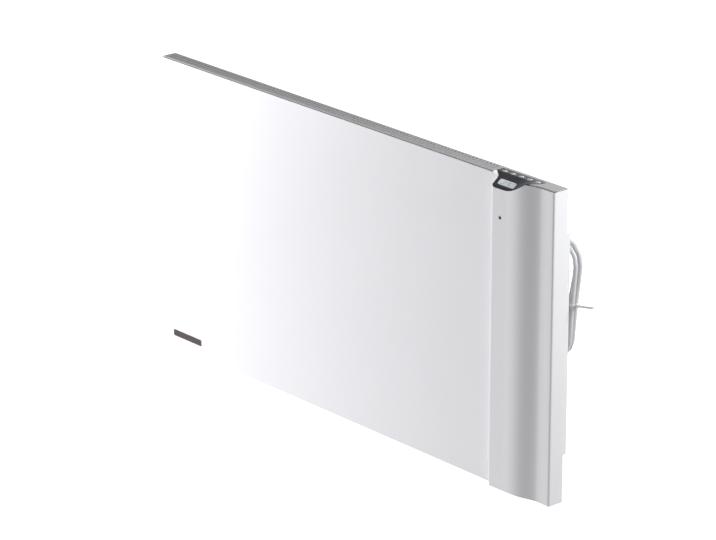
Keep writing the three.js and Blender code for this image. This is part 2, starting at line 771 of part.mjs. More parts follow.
function rearCover() {
  const rim = FRAME_BACK - COVER.rimDepth;
  const shell = cut(coverForm(0, rim), coverForm(COVER.gauge, rim - 1));
  const tools = [];
  for (const side of [-1, 1]) {
    tools.push(hookSlot(side * BRACKET.hookFromCentre, BRACKET.hookWidth / 2 + 2));
    tools.push(clipSlot(side * BRACKET.hookFromCentre));
  }
  for (let row = 0; row < 2; row += 1) {
    const z = COVER_BOTTOM + COVER.slotRise + COVER.rowPitch * row;
    for (let i = 0; i < COVER.slotCount; i += 1) {
      const x = (i - (COVER.slotCount - 1) / 2) * COVER.slotPitch;
      tools.push(box(x - COVER.slotLength / 2, x + COVER.slotLength / 2, COVER_FACE - 1, COVER_BACK + 1,
        z, z + COVER.slotHeight));
    }
  }
  for (const [x, z] of screwPlaces()) {
    tools.push(rod('y', SCREW.shank + 2 * FIT, COVER_FACE - 1, COVER_BACK + 1, x, z, 10));
  }
  const half = OUTLET.width / 2 - 3;
  const x = RIGHT - OUTLET.fromRight;
  const z = TOP - OUTLET.belowTop;
  tools.push(box(x - half, x + half, FRAME_BACK - COVER.gauge - 1, FRAME_BACK + 1, z - OUTLET.height + 4, z - 4));
  return cut(shell, ...tools);
}

// Each side rail's outer face; the rails join the front panel to the rear cover.
const RAIL_X = INSIDE_RIGHT - COVER.gauge - FIT;

// Where the rear cover's screws go: near both ends of both side rails.
function screwPlaces() {
  const x = RAIL_X - SIDE_RAIL.width / 2;
  const low = COVER_BOTTOM + SIDE_RAIL.lowEnd + SCREW.fromRailEnd;
  const high = COVER_STEP - SIDE_RAIL.highEnd - SCREW.fromRailEnd;
  return [[-x, low], [-x, high], [x, low], [x, high]];
}

function sideRail(side) {
  const front = PANEL_INSIDE + FIT;
  const back = COVER_FACE - FIT;
  const path = [[RAIL_X - SIDE_RAIL.width, front], [RAIL_X, front], [RAIL_X, back],
    [RAIL_X - SIDE_RAIL.width, back]];
  const channel = prism('z', sheetOutline(path, SIDE_RAIL.gauge), COVER_BOTTOM + SIDE_RAIL.lowEnd,
    COVER_STEP - SIDE_RAIL.highEnd);
  if (side < 0) {
    channel.rotateZ(Math.PI).translate(0, front + back, 0);
  }
  const holes = screwPlaces().filter(([x]) => x * side > 0)
    .map(([x, z]) => rod('y', SCREW.shank + 2 * FIT, back - 3, back + 1, x, z, 10));
  return cut(channel, ...holes);
}

function coverScrew([x, z]) {
  const under = COVER_BACK + FIT;
  const tip = under - SCREW.length;
  const r = SCREW.shank / 2;
  const head = SCREW.head / 2;
  const top = under + SCREW.headHeight;
  const profile = [[0, tip], [r, tip + 1], [r, under], [head, under], [head, under + 1], [head * 0.6, top],
    [0, top]];
  return turned(profile, 8).translate(x, 0, z);
}

function namePlate() {
  const outline = roundedRectangle(LEFT + NAME_PLATE.left, LEFT + NAME_PLATE.right,
    BOTTOM + NAME_PLATE.low, BOTTOM + NAME_PLATE.high, NAME_PLATE.corner);
  return prism('y', outline, FRONT - FIT - NAME_PLATE.thickness, FRONT - FIT);
}

function wallSpacer(side) {
  const profile = [[0, FRAME_BACK + FIT], [SPACER.base / 2, FRAME_BACK + FIT],
    [SPACER.base / 2, FRAME_BACK + FIT + 4], [SPACER.tip / 2, -SPACER.wallGap - 1.5],
    [SPACER.tip / 2 - 1.5, -SPACER.wallGap], [0, -SPACER.wallGap]];
  const z = BOTTOM + SPACER.rise;
  return turned(profile, 16).translate(side * (RIGHT - SPACER.fromEnd), 0, z);
}

// ---------------------------------------------------------------- controls

function controlBezel() {
  const tools = [bezelHollow()];
  for (let i = 0; i < BUTTON.count; i += 1) {
    tools.push(ellipse(BUTTON.length + 2 * BUTTON.running, BUTTON.breadth + 2 * BUTTON.running,
      TOP - 6, TOP + 2, buttonX(i)));
  }
  tools.push(onSlant(DISPLAY.leftFromRight, DISPLAY.rightFromRight, DISPLAY.slopeFrom, DISPLAY.slopeTo,
    -2, BEZEL.wall + 3));
  return join(cut(bezelBody(), ...tools), boardPost(0), boardPost(BUTTON.count - 2));
}

// Post between two buttons that carries the button board.
function boardPost(index) {
  const x = buttonX(index) + BUTTON.pitch / 2;
  const back = FRONT + BEZEL.bandBack - BEZEL.wall;
  return box(x - BEZEL.postWidth / 2, x + BEZEL.postWidth / 2, back - BEZEL.postDepth, back + 0.5,
    buttonBoardTop() + FIT, TOP - BEZEL.wall + 0.5);
}

function displayWindow() {
  return onSlant(DISPLAY.leftFromRight - FIT, DISPLAY.rightFromRight + FIT, DISPLAY.slopeFrom + FIT,
    DISPLAY.slopeTo - FIT, 0.2, 0.2 + DISPLAY.windowThickness);
}

function lcdModule() {
  const face = 0.2 + DISPLAY.windowThickness + FIT;
  return onSlant(DISPLAY.leftFromRight - FIT, DISPLAY.rightFromRight + FIT, DISPLAY.slopeFrom + FIT,
    DISPLAY.slopeTo - FIT, face, face + DISPLAY.moduleThickness);
}

function displayBoard() {
  const face = 0.2 + DISPLAY.windowThickness + DISPLAY.moduleThickness + 2 * FIT;
  return onSlant(DISPLAY.leftFromRight + 1, DISPLAY.rightFromRight - DISPLAY.boardOverhang,
    DISPLAY.slopeFrom + 1, DISPLAY.slopeTo - 1, face, face + DISPLAY.boardThickness);
}

function buttonUnderside() {
  return TOP - BEZEL.wall - FIT;
}

function button(index) {
  const x = buttonX(index);
  const under = buttonUnderside();
  const low = under - BUTTON.rimThickness;
  return join(
    ellipse(BUTTON.length, BUTTON.breadth, under - 0.1, TOP + BUTTON.proud, x),
    ellipse(BUTTON.length + 2 * BUTTON.rim, BUTTON.breadth + 2 * BUTTON.rim, low, under, x),
    ellipse(4, 4, low - BUTTON.stemLength + BUTTON.rimThickness, low + 0.1, x),
  );
}

function domeTop() {
  return buttonUnderside() - BUTTON.stemLength - BUTTON.travel - FIT;
}

// Silicone mat with one dome under each button.
function keyMat() {
  const y = FRONT + BUTTON.behindFront;
  const top = domeTop() - KEY_MAT.domeHeight;
  const sheet = box(buttonX(0) - KEY_MAT.overhang, buttonX(BUTTON.count - 1) + KEY_MAT.overhang,
    y - KEY_MAT.halfBreadth, y + KEY_MAT.halfBreadth, top - KEY_MAT.thickness, top);
  const domes = Array.from({ length: BUTTON.count }, (_, i) =>
    rod('z', KEY_MAT.domeDiameter, top - 0.1, domeTop(), buttonX(i), y, 12));
  return join(sheet, ...domes);
}

function buttonBoardTop() {
  return domeTop() - KEY_MAT.domeHeight - KEY_MAT.thickness - FIT;
}

function buttonBoard() {
  const high = buttonBoardTop();
  const front = FRONT + BUTTON.behindFront - KEY_MAT.halfBreadth;
  const back = FRONT + BEZEL.bandBack - BEZEL.wall - FIT;
  return box(buttonX(0) - KEY_MAT.overhang, buttonX(BUTTON.count - 1) + KEY_MAT.overhang,
    front, back, high - DISPLAY.boardThickness, high);
}

function sensorFace() {
  return FRONT - waveRise(SENSOR.fromRight) + PANEL.gauge + FIT + 0.1;
}

function sensorWindow() {
  const face = sensorFace();
  const r = SENSOR.lensDiameter / 2;
  const flange = SENSOR.flangeDiameter / 2;
  const front = face - PANEL.gauge - FIT;
  const profile = [[0, front - 0.9], [r * 0.6, front - 0.6], [r, front], [r, face], [flange, face],
    [flange, face + SENSOR.flangeThickness], [0, face + SENSOR.flangeThickness]];
  return turned(profile, 16).translate(RIGHT - SENSOR.fromRight, 0, TOP - SENSOR.belowTop);
}

function presenceSensor() {
  const face = sensorFace() + SENSOR.flangeThickness + FIT;
  return rod('y', SENSOR.canDiameter, face, face + SENSOR.canHeight,
    RIGHT - SENSOR.fromRight, TOP - SENSOR.belowTop);
}

// ---------------------------------------------------------------- power electronics

function controlPartition() {
  const outline = [
    [PANEL_INSIDE + FIT, INLET_TOP + FIT],
    [FRAME_BACK - COVER.rimDepth - FIT, INLET_TOP + FIT],
    [FRAME_BACK - COVER.rimDepth - FIT, COVER_BOTTOM + COVER.gauge + FIT],
    [COVER_FACE - FIT, COVER_BOTTOM + COVER.gauge + FIT],
    [COVER_FACE - FIT, COVER_STEP - COVER.gauge - FIT],
    [FRAME_BACK - COVER.gauge - FIT, COVER_STEP - COVER.gauge - FIT],
    [FRAME_BACK - COVER.gauge - FIT, COVER_TOP - COVER.gauge - FIT],
    [PANEL_INSIDE + FIT, COVER_TOP - COVER.gauge - FIT],
  ];
  const r = PARTITION.wireHole / 2;
  const hole = arc(ELEMENT_Y, ELEMENT_Z, r, 0, 360, 12).slice(0, -1);
  return prism('x', outline, PARTITION_X, PARTITION_X + PARTITION.gauge, [hole]);
}

function boardCorners() {
  const { edge, width, height } = BOARD;
  const places = [];
  for (const x of [BOARD_LEFT + edge, BOARD_LEFT + width - edge]) {
    for (const z of [BOARD_TOP - edge, BOARD_TOP - height + edge]) {
      places.push([x, z]);
    }
  }
  return places;
}

function powerBoard() {
  return box(BOARD_LEFT, BOARD_LEFT + BOARD.width, BOARD_FRONT, BOARD_FRONT + BOARD.thickness,
    BOARD_TOP - BOARD.height, BOARD_TOP);
}

// Plastic carrier between the power board and the rear cover, with a boss at each corner.
function boardCarrier() {
  const back = COVER_FACE - FIT;
  const m = BOARD.carrierMargin;
  const plate = box(BOARD_LEFT - m, BOARD_LEFT + BOARD.width + m, back - BOARD.carrierPlate, back,
    BOARD_TOP - BOARD.height - m, BOARD_TOP + m);
  const bosses = boardCorners().map(([x, z]) =>
    rod('y', BOARD.bossDiameter, back - BOARD.carrierDepth, back - 0.5, x, z, 10));
  return join(plate, ...bosses);
}

// A block on the board's front, placed from its upper left corner.
function onBoard(item) {
  const x = BOARD_LEFT + item.left;
  const back = BOARD_FRONT - FIT;
  return box(x, x + item.width, back - item.depth, back, BOARD_TOP - item.down - item.height,
    BOARD_TOP - item.down);
}

function heatSink() {
  const gap = (HEAT_SINK.width - HEAT_SINK.fin * HEAT_SINK.fins) / (HEAT_SINK.fins - 1);
  const block = onBoard(HEAT_SINK);
  const back = BOARD_FRONT - FIT;
  const tools = Array.from({ length: HEAT_SINK.fins - 1 }, (_, i) => {
    const x = BOARD_LEFT + HEAT_SINK.left + HEAT_SINK.fin * (i + 1) + gap * i;
    return box(x, x + gap, back - HEAT_SINK.depth - 1, back - HEAT_SINK.web,
      BOARD_TOP - HEAT_SINK.down - HEAT_SINK.height - 1, BOARD_TOP - HEAT_SINK.down + 1);
  });
  return cut(block, ...tools);
}

function terminalX(way) {
  return BOARD_LEFT + TERMINALS.left + TERMINALS.width * (way + 0.5) / TERMINALS.ways;
}

function terminalBlock() {
  const low = BOARD_TOP - TERMINALS.down - TERMINALS.height;
  const y = BOARD_FRONT - FIT - TERMINALS.depth / 2;
  const tools = Array.from({ length: TERMINALS.ways }, (_, way) =>
    rod('z', TERMINALS.wayHole, low - 1, low + 8, terminalX(way), y, 10));
  return cut(onBoard(TERMINALS), ...tools);
}

function roomSensorPlace() {
  return { x: RIGHT - ROOM_SENSOR.fromRight, y: (PANEL_INSIDE + FRAME_BACK) / 2, z: BOTTOM + ROOM_SENSOR.rise };
}

function roomSensor() {
  const { x, y, z } = roomSensorPlace();
  return rod('x', ROOM_SENSOR.diameter, x - ROOM_SENSOR.length / 2, x + ROOM_SENSOR.length / 2, y, z, 12);
}

function sensorClip() {
  const { x, y, z } = roomSensorPlace();
  const back = FRAME_BACK - INLET.plateGauge - FIT;
  const reach = ROOM_SENSOR.diameter / 2 + FIT;
  const half = ROOM_SENSOR.clipWidth / 2;
  const g = ROOM_SENSOR.clipGauge;
  return join(
    box(x - half, x + half, y + reach, back, z - reach - g, z + reach + g),
    box(x - half, x + half, y - reach, y + reach + 0.1, z + reach, z + reach + g),
    box(x - half, x + half, y - reach, y + reach + 0.1, z - reach - g, z - reach),
  );
}

// ---------------------------------------------------------------- heating element

function elementFins() {
  const tilt = Math.atan2(ELEMENT.finDepth, ELEMENT.finHeight);
  const reach = Math.hypot(ELEMENT.finDepth, ELEMENT.finHeight) / 2;
  const arm = (angle) => box(ELEMENT_LEFT, ELEMENT_RIGHT, -ELEMENT.finThickness / 2, ELEMENT.finThickness / 2,
    -reach, reach).rotateX(angle);
  const hub = rod('x', ELEMENT.hub, ELEMENT_LEFT, ELEMENT_RIGHT, 0, 0);
  const bore = rod('x', ELEMENT.rod + 2 * FIT, ELEMENT_LEFT - 1, ELEMENT_RIGHT + 1, 0, 0);
  return cut(join(hub, arm(tilt), arm(-tilt)), bore).translate(0, ELEMENT_Y, ELEMENT_Z);
}

function elementRod() {
  const left = ELEMENT_LEFT - ELEMENT.rodOverhang;
  const right = ELEMENT_RIGHT + ELEMENT.rodOverhang;
  const r = ELEMENT.rod / 2;
  const pin = ELEMENT.pin / 2;
  const profile = [[0, left - ELEMENT.pinLength], [pin, left - ELEMENT.pinLength], [pin, left], [r, left],
    [r, right], [pin, right], [pin, right + ELEMENT.pinLength], [0, right + ELEMENT.pinLength]];
  return turned(profile, 16, 'x').translate(0, ELEMENT_Y, ELEMENT_Z);
}

function elementBracketX(side) {
  const end = side < 0 ? ELEMENT_LEFT : ELEMENT_RIGHT;
  return end + side * ELEMENT.bracketFromFins;
}

function elementBracket(side) {
  const x = elementBracketX(side);
  const half = ELEMENT.bracketHeight / 2;
  const g = ELEMENT.bracketGauge;
  const back = COVER_FACE - FIT;
  const near = Math.min(x, x + side * g);
  const plate = box(near, near + g, ELEMENT_Y - ELEMENT.finDepth / 2, back, ELEMENT_Z - half, ELEMENT_Z + half);
  const footTo = x + side * ELEMENT.bracketFoot;
  const foot = box(Math.min(near, footTo), Math.max(near + g, footTo), back - g, back,
    ELEMENT_Z - half, ELEMENT_Z + half);
  const hole = rod('x', ELEMENT.rod + 2 * FIT, near - 1, near + g + 1, ELEMENT_Y, ELEMENT_Z);
  return cut(join(plate, foot), hole);
}

function heatShield() {
  const half = SHIELD.height / 2;
  const back = COVER_FACE - FIT;
  const g = SHIELD.gauge;
  const outline = [
    [back, ELEMENT_Z - half], [back, ELEMENT_Z - half + g], [SHIELD_BACK, ELEMENT_Z - half + g],
    [SHIELD_BACK, ELEMENT_Z + half - g], [back, ELEMENT_Z + half - g], [back, ELEMENT_Z + half],
    [SHIELD_BACK - g, ELEMENT_Z + half], [SHIELD_BACK - g, ELEMENT_Z - half],
  ];
  const left = elementBracketX(-1) + SHIELD.endGap;
  const right = elementBracketX(1) - SHIELD.endGap;
  return prism('x', outline, left, right);
}

function cutoutPlace() {
  return { x: RIGHT - CUTOUT.fromRight, z: ELEMENT_Z + CUTOUT.rise, back: SHIELD_BACK - SHIELD.gauge - FIT };
}

function thermalCutout() {
  const { x, z, back } = cutoutPlace();
  return join(
    rod('y', CUTOUT.diameter, back - CUTOUT.height, back - 0.9, x, z),
    box(x - CUTOUT.flange / 2, x + CUTOUT.flange / 2, back - 1, back, z - 4, z + 4),
  );
}

// ---------------------------------------------------------------- wiring

function wireGate(offset) {
  return [PARTITION_X + PARTITION.gauge / 2, ELEMENT_Y + offset, ELEMENT_Z + Math.abs(offset) * 0.3];
}

// Where a wire leaves the thermal cut-out's face.
function cutoutTab(side) {
  const { x, z, back } = cutoutPlace();
  return [x + side * WIRE.tab, back - CUTOUT.height - FIT, z];
}

// The end of a wire: up from below, and straight into one way of the terminal block.
function intoTerminal(way) {
  const x = terminalX(way);
  const y = BOARD_FRONT - FIT - TERMINALS.depth / 2;
  const low = BOARD_TOP - TERMINALS.down - TERMINALS.height;
  return [[x - 4, y - 2, low - WIRE.straight * 2.4], [x, y, low - WIRE.straight], [x, y, low + WIRE.entry]];
}

function liveWire() {
  const [gx, gy, gz] = wireGate(-2);
  const pin = ELEMENT_RIGHT + ELEMENT.rodOverhang + ELEMENT.pinLength + FIT;
  return tube([
    [pin, ELEMENT_Y, ELEMENT_Z], [pin + WIRE.standOff, ELEMENT_Y, ELEMENT_Z], [gx, gy, gz],
    [gx + WIRE.straight, gy - 1, gz - WIRE.standOff], ...intoTerminal(0),
  ], WIRE.diameter, WIRE.sides, 20);
}

// From the cut-out over the right element bracket and through the partition.
function neutralWire() {
  const [x, y, z] = cutoutTab(1);
  const [gx, gy, gz] = wireGate(2);
  const over = elementBracketX(1) + ELEMENT.bracketFoot / 2;
  const above = ELEMENT_Z + ELEMENT.bracketHeight / 2 + WIRE.diameter * 2;
  return tube([
    [x, y, z], [x, y - WIRE.standOff, z], [x + WIRE.straight, y - WIRE.standOff, above], [over, y - 2, above],
    [over + WIRE.straight * 1.8, gy, above - WIRE.straight * 1.4], [gx, gy, gz],
    [gx + WIRE.straight, gy + 1, gz - WIRE.standOff * 2], ...intoTerminal(1),
  ], WIRE.diameter, WIRE.sides, 24);
}

// From the cut-out along the top of the fins to the element's left terminal.
function returnWire() {
  const [x, y, z] = cutoutTab(-1);
  const left = ELEMENT_LEFT - ELEMENT.rodOverhang - ELEMENT.pinLength - FIT;
  const along = ELEMENT_Z + ELEMENT.bracketHeight / 2 + WIRE.standOff;
  const front = y - WIRE.standOff;
  const run = [0, 0.1, 0.4, 0.7, 1].map((share) =>
    [THREE.MathUtils.lerp(x - WIRE.loop, left + WIRE.loop, share), front, along]);
  return tube([
    [x, y, z], [x, front, z], ...run,
    [left - 8, ELEMENT_Y + 2, ELEMENT_Z + WIRE.loop], [left - 9, ELEMENT_Y, ELEMENT_Z + WIRE.loop / 4],
    [left - 5, ELEMENT_Y, ELEMENT_Z], [left, ELEMENT_Y, ELEMENT_Z],
  ], WIRE.diameter, WIRE.sides, 34);
}

// Flat cable from the button board down to the power board.
function ribbonCable() {
  const high = buttonBoardTop() - DISPLAY.boardThickness - FIT;
  const front = FRONT + BUTTON.behindFront - 1;
  const back = front + RIBBON.jog;
  const end = BOARD_FRONT - RIBBON.clear;
  const path = [[front, high], [front, high - RIBBON.bend], [back, high - 2 * RIBBON.bend],
    [back, BOARD_TOP + 2 * RIBBON.bend], [end, BOARD_TOP + RIBBON.overlap], [end, BOARD_TOP - RIBBON.overlap]];
  const x = BOARD_LEFT + BOARD.width / 2;
  return prism('x', sheetOutline(path, RIBBON.thickness), x - RIBBON.width / 2, x + RIBBON.width / 2);
}

// ---------------------------------------------------------------- mains cord

function outletPlace() {
  return { x: RIGHT - OUTLET.fromRight, z: TOP - OUTLET.belowTop };
}

function cableOutlet() {
  const { x, z } = outletPlace();
  const near = FRAME_BACK + FIT;
  const body = prism('x', [
    [near, z - OUTLET.height], [near + OUTLET.depth, z - OUTLET.height],
    [near + OUTLET.depth, z - 7], [near + OUTLET.depth - 7, z], [near, z],
  ], x - OUTLET.width / 2, x + OUTLET.width / 2);
  const half = OUTLET.width / 2 - 3 - FIT;
  const spigot = box(x - half, x + half, FRAME_BACK - COVER.gauge - OUTLET.spigotDepth, near + 0.1,
    z - OUTLET.height + 4 + FIT, z - 4 - FIT);
  return join(body, spigot);
}

function protectorTop() {
  return TOP - OUTLET.belowTop - OUTLET.height - FIT;
}

function bendProtector() {
  const { x } = outletPlace();
  const top = protectorTop();
  const profile = [];
  const steps = PROTECTOR.ribs * 2;
  for (let i = 0; i <= steps; i += 1) {
    const share = i / steps;
    const r = THREE.MathUtils.lerp(PROTECTOR.upper, PROTECTOR.lower, share) / 2;
    profile.push([i % 2 ? r - PROTECTOR.ribDepth : r, top - PROTECTOR.length * share]);
  }
  const outline = [[0, top], ...profile, [0, top - PROTECTOR.length]];
  return turned(outline.reverse(), 12, 'z').translate(x, HANK.centreY, 0);
}

function leanPoint(x, y, z) {
  const angle = THREE.MathUtils.degToRad(HANK.lean);
  return [
    HANK.centreX + x * Math.cos(angle) + z * Math.sin(angle),
    y,
    HANK.centreZ - x * Math.sin(angle) + z * Math.cos(angle),
  ];
}

const HANK_CLIMB = HANK.turns / 2;

// A point of the hank: turn 0 is the middle of the left run, going down.
function hankPoint(turn) {
  const u = turn - Math.floor(turn);
  const radius = HANK.innerRadius + HANK.pitch * Math.abs(turn - HANK_CLIMB);
  const half = HANK.run / 2;
  let x = -radius;
  let z = -half * u * 8;
  if (u > 1 / 8 && u <= 3 / 8) {
    const angle = Math.PI * (u - 1 / 8) * 4;
    x = -radius * Math.cos(angle);
    z = -half - radius * Math.sin(angle);
  } else if (u > 3 / 8 && u <= 5 / 8) {
    x = radius;
    z = half * (u - 1 / 2) * 8;
  } else if (u > 5 / 8 && u <= 7 / 8) {
    const angle = Math.PI * (u - 5 / 8) * 4;
    x = radius * Math.cos(angle);
    z = half + radius * Math.sin(angle);
  } else if (u > 7 / 8) {
    z = half * (1 - u) * 8;
  }
  if (Math.abs(z) < half) {
    const draw = x < 0 ? HANK.drawLeft : -HANK.drawRight;
    x += draw * (1 + Math.cos(Math.PI * z / half)) / 2;
  }
  const climb = THREE.MathUtils.smoothstep(turn, HANK_CLIMB - 1 / 8, HANK_CLIMB + 1 / 8);
  return leanPoint(x, THREE.MathUtils.lerp(LAYER_FRONT, LAYER_BACK, climb), z);
}

function hankRoute(stepsPerTurn) {
  const first = -1 / 8;
  const last = HANK.turns + 1 / 8;
  const steps = Math.round((last - first) * stepsPerTurn);
  const points = [];
  for (let i = 0; i <= steps; i += 1) {
    points.push(new THREE.Vector3(...hankPoint(first + (last - first) * i / steps)));
  }
  const up = new THREE.Vector3(...leanPoint(0, 0, 1)).sub(new THREE.Vector3(...leanPoint(0, 0, 0)));
  points.unshift(points[0].clone().addScaledVector(up, CORD.diameter));
  points.push(points.at(-1).clone().addScaledVector(up, -CORD.diameter));
  return points;
}

// Least gap between two stretches of the hank that aren't neighbours along the cord.
function leastGap(points) {
  let least = Infinity;
  const travelled = [0];
  for (let i = 1; i < points.length; i += 1) {
    travelled.push(travelled[i - 1] + points[i].distanceTo(points[i - 1]));
  }
  for (let i = 0; i < points.length; i += 1) {
    for (let j = i + 1; j < points.length; j += 1) {
      if (travelled[j] - travelled[i] > 6 * CORD.diameter) {
        least = Math.min(least, points[i].distanceTo(points[j]));
      }
    }
  }
  return { gap: least - CORD.diameter, length: travelled.at(-1) };
}

function sweptTube(points, diameter, sides) {
  const tangents = points.map((point, i) => {
    const before = points[Math.max(i - 1, 0)];
    const after = points[Math.min(i + 1, points.length - 1)];
    return after.clone().sub(before).normalize();
  });
  const normal = new THREE.Vector3(0, 1, 0);
  const rings = points.map((point, i) => {
    normal.addScaledVector(tangents[i], -normal.dot(tangents[i])).normalize();
    const side = tangents[i].clone().cross(normal);
    return arc(0, 0, diameter / 2, 0, 360, sides).slice(0, -1).map(([u, v]) => point.clone()
      .addScaledVector(normal, u).addScaledVector(side, v).toArray());
  });
  return loft(rings, [0, 1]);
}

function cordHank() {
  const fine = leastGap(hankRoute(240));
  console.log(`hank: ${fine.length.toFixed(0)} mm of cord, least gap to itself ${fine.gap.toFixed(2)} mm`);
  return sweptTube(hankRoute(HANK.stepsPerTurn), CORD.diameter, HANK.sides);
}

function cordLead() {
  const route = hankRoute(HANK.stepsPerTurn);
  const end = route[0];
  const { x } = outletPlace();
  const top = protectorTop() - PROTECTOR.length - FIT;
  return tube([
    [x, HANK.centreY, top], [x, HANK.centreY, top - 7], [end.x + 1.2, (HANK.centreY + end.y) / 2, end.z + 12],
    [end.x + 0.4, end.y, end.z + 5], [end.x, end.y, end.z + FIT],
  ], CORD.diameter, CORD.sides, 8);
}

function sleeveTop() {
  return COVER_BOTTOM - PLUG.belowCover + PLUG.sleeveLength;
}

function cordTail() {
  const end = hankRoute(HANK.stepsPerTurn).at(-1);
  const low = sleeveTop() + FIT;
  const { centreX: x, centreY: y } = PLUG;
  return tube([
    [end.x, end.y, end.z - FIT], [end.x - 0.8, end.y, end.z - 9], [x + 0.6, -8, low + 110],
    [x - 2.4, -10.5, low + 64], [x - 1.2, y, low + 26], [x, y, low + 8], [x, y, low],
  ], CORD.diameter, CORD.sides, 14);
}

function mainsPlug() {
  const top = COVER_BOTTOM - PLUG.belowCover;
  const { centreX: x, centreY: y } = PLUG;
  const outline = roundedRectangle(-PLUG.width / 2, PLUG.width / 2, -PLUG.thickness / 2, PLUG.thickness / 2,
    PLUG.corner);
  const section = (z, grow) => outline.map(([u, v]) => [u * grow, v * grow, z]);
  const body = loft([
    section(-PLUG.length, 0.94), section(-PLUG.length + 2, 1), section(-PLUG.length * 0.45, 1),
    section(-PLUG.length * 0.3, 0.86), section(-5, 0.8), section(0, 0.62),
  ], [0, 1]);
  const sleeve = turned([[0, -1], [PLUG.sleeveLower / 2, -1], [PLUG.sleeveUpper / 2, PLUG.sleeveLength - 1],
    [PLUG.sleeveUpper / 2 - 1, PLUG.sleeveLength], [0, PLUG.sleeveLength]], 16, 'z');
  const low = -PLUG.length;
  const sockets = [-1, 1].map((side) => rod('z', PLUG.pinDiameter + 2 * FIT, low - 1, low + 4,
    side * PLUG.pinPitch / 2, 0, 12));
  return cut(join(body, sleeve), ...sockets).translate(x, y, top);
}

function plugPin(side) {
  const face = COVER_BOTTOM - PLUG.belowCover - PLUG.length;
  const r = PLUG.pinDiameter / 2;
  const profile = [[0, face - PLUG.pinLength], [r * 0.5, face - PLUG.pinLength], [r, face - PLUG.pinLength + 1.5],
    [r, face + 3.4], [0, face + 3.4]];
  const { centreX: x, centreY: y, pinPitch } = PLUG;
  return turned(profile, 12, 'z').translate(x + side * pinPitch / 2, y, 0);
}

function cableTie() {
  const right = HANK.innerRadius + HANK.pitch * (HANK_CLIMB - 0.5) - HANK.drawRight + CORD.diameter / 2;
  const left = HANK.innerRadius + HANK.pitch * HANK_CLIMB - HANK.drawLeft + CORD.diameter / 2;
  const c = TIE.clearance;
  const tall = (HANK.layerPitch + CORD.diameter) / 2 + c;
  const t = TIE.thickness;
  const inner = roundedRectangle(-left - c, right + c, -tall, tall, CORD.diameter / 2);
  const outer = roundedRectangle(-left - c - t, right + c + t, -tall - t, tall + t, CORD.diameter / 2 + t);
  const half = TIE.width / 2;
  const ring = prism('z', outer, -half, half, [inner]);
  const headX = right + c + t - 0.2;
  const head = box(headX, headX + TIE.head, -TIE.head / 2, TIE.head / 2, -half - 0.8, half + 0.8);
  const tailX = headX + TIE.head - 0.2;
  const tail = prism('z', sheetOutline([
    [0, -0.5], [TIE.tail * 0.35, 0.8], [TIE.tail * 0.7, TIE.tailBack * 0.5], [TIE.tail, TIE.tailBack],
  ], t), -half + 0.1, half - 0.1);
  tail.rotateY(-THREE.MathUtils.degToRad(TIE.tailTilt)).translate(tailX, 0, 0);
  const tie = join(ring, head, tail);
  tie.rotateY(THREE.MathUtils.degToRad(HANK.lean));
  return tie.translate(HANK.centreX, HANK.centreY, HANK.centreZ);
}

// ---------------------------------------------------------------- wall bracket

function screwSlot(x, z) {
  const length = BRACKET.screwSlotLength / 2;
  const r = BRACKET.screwSlotWidth / 2;
  return roundedRectangle(x - length, x + length, z - r, z + r, r - 0.01);
}

function rail(centre) {
  const half = BRACKET.railHeight / 2;
  const x = BRACKET.width / 2;
  const g = BRACKET.gauge;
  const holes = [-1, 1].map((side) => screwSlot(side * BRACKET.screwFromCentre, centre));
  const plate = prism('y', rectangle(-x, x, centre - half, centre + half), -g, 0, holes);
  const flange = box(-x, x, -BRACKET.railDepth, -g + 0.1, centre + half - g, centre + half);
  return [plate, flange];
}

function upperRail() {
  const g = BRACKET.gauge;
  const lipBack = COVER_FACE - BRACKET.hookThroat;
  const outline = [
    [-BRACKET.railDepth + 0.1, SEAT - g], [-BRACKET.railDepth + 0.1, SEAT], [lipBack, SEAT],
    [lipBack, SEAT + BRACKET.lipHeight], [lipBack - g, SEAT + BRACKET.lipHeight - 2], [lipBack - g, SEAT - g],
  ];
  const hooks = [-1, 1].map((side) => {
    const x = side * BRACKET.hookFromCentre;
    return prism('x', outline, x - BRACKET.hookWidth / 2, x + BRACKET.hookWidth / 2);
  });
  return join(...rail(UPPER_RAIL), ...hooks);
}

function bracketSpine() {
  const high = UPPER_RAIL - BRACKET.railHeight / 2 - FIT;
  const low = LOWER_RAIL + BRACKET.railHeight / 2 + FIT;
  const half = BRACKET.spineWidth / 2;
  const r = BRACKET.spineHole / 2;
  const holes = [-1, 1].map((side) =>
    arc(0, side * BRACKET.spineHoleFromCentre, r, 0, 360, 12).slice(0, -1));
  return prism('y', rectangle(-half, half, low, high), -BRACKET.gauge, 0, holes);
}

// Lower rail, with two spring tongues whose noses snap into the rear cover.
function lowerRail() {
  const z = TONGUE_Z;
  const g = CLIP.gauge;
  const nose = COVER_FACE - CLIP.noseReach;
  const path = [[COVER_BACK + 1, z + CLIP.noseHeight - g], [nose, z + CLIP.noseHeight / 2], [COVER_BACK, z],
    [1 - BRACKET.railDepth, z]];
  const tongues = [-1, 1].map((side) => {
    const x = side * BRACKET.hookFromCentre;
    return prism('x', sheetOutline(path, g), x - CLIP.width / 2, x + CLIP.width / 2);
  });
  return join(...rail(LOWER_RAIL), ...tongues);
}

// ---------------------------------------------------------------- assembly

function finish(color, roughness, metalness) {
  return () => new THREE.MeshStandardMaterial({ color, roughness, metalness });
}

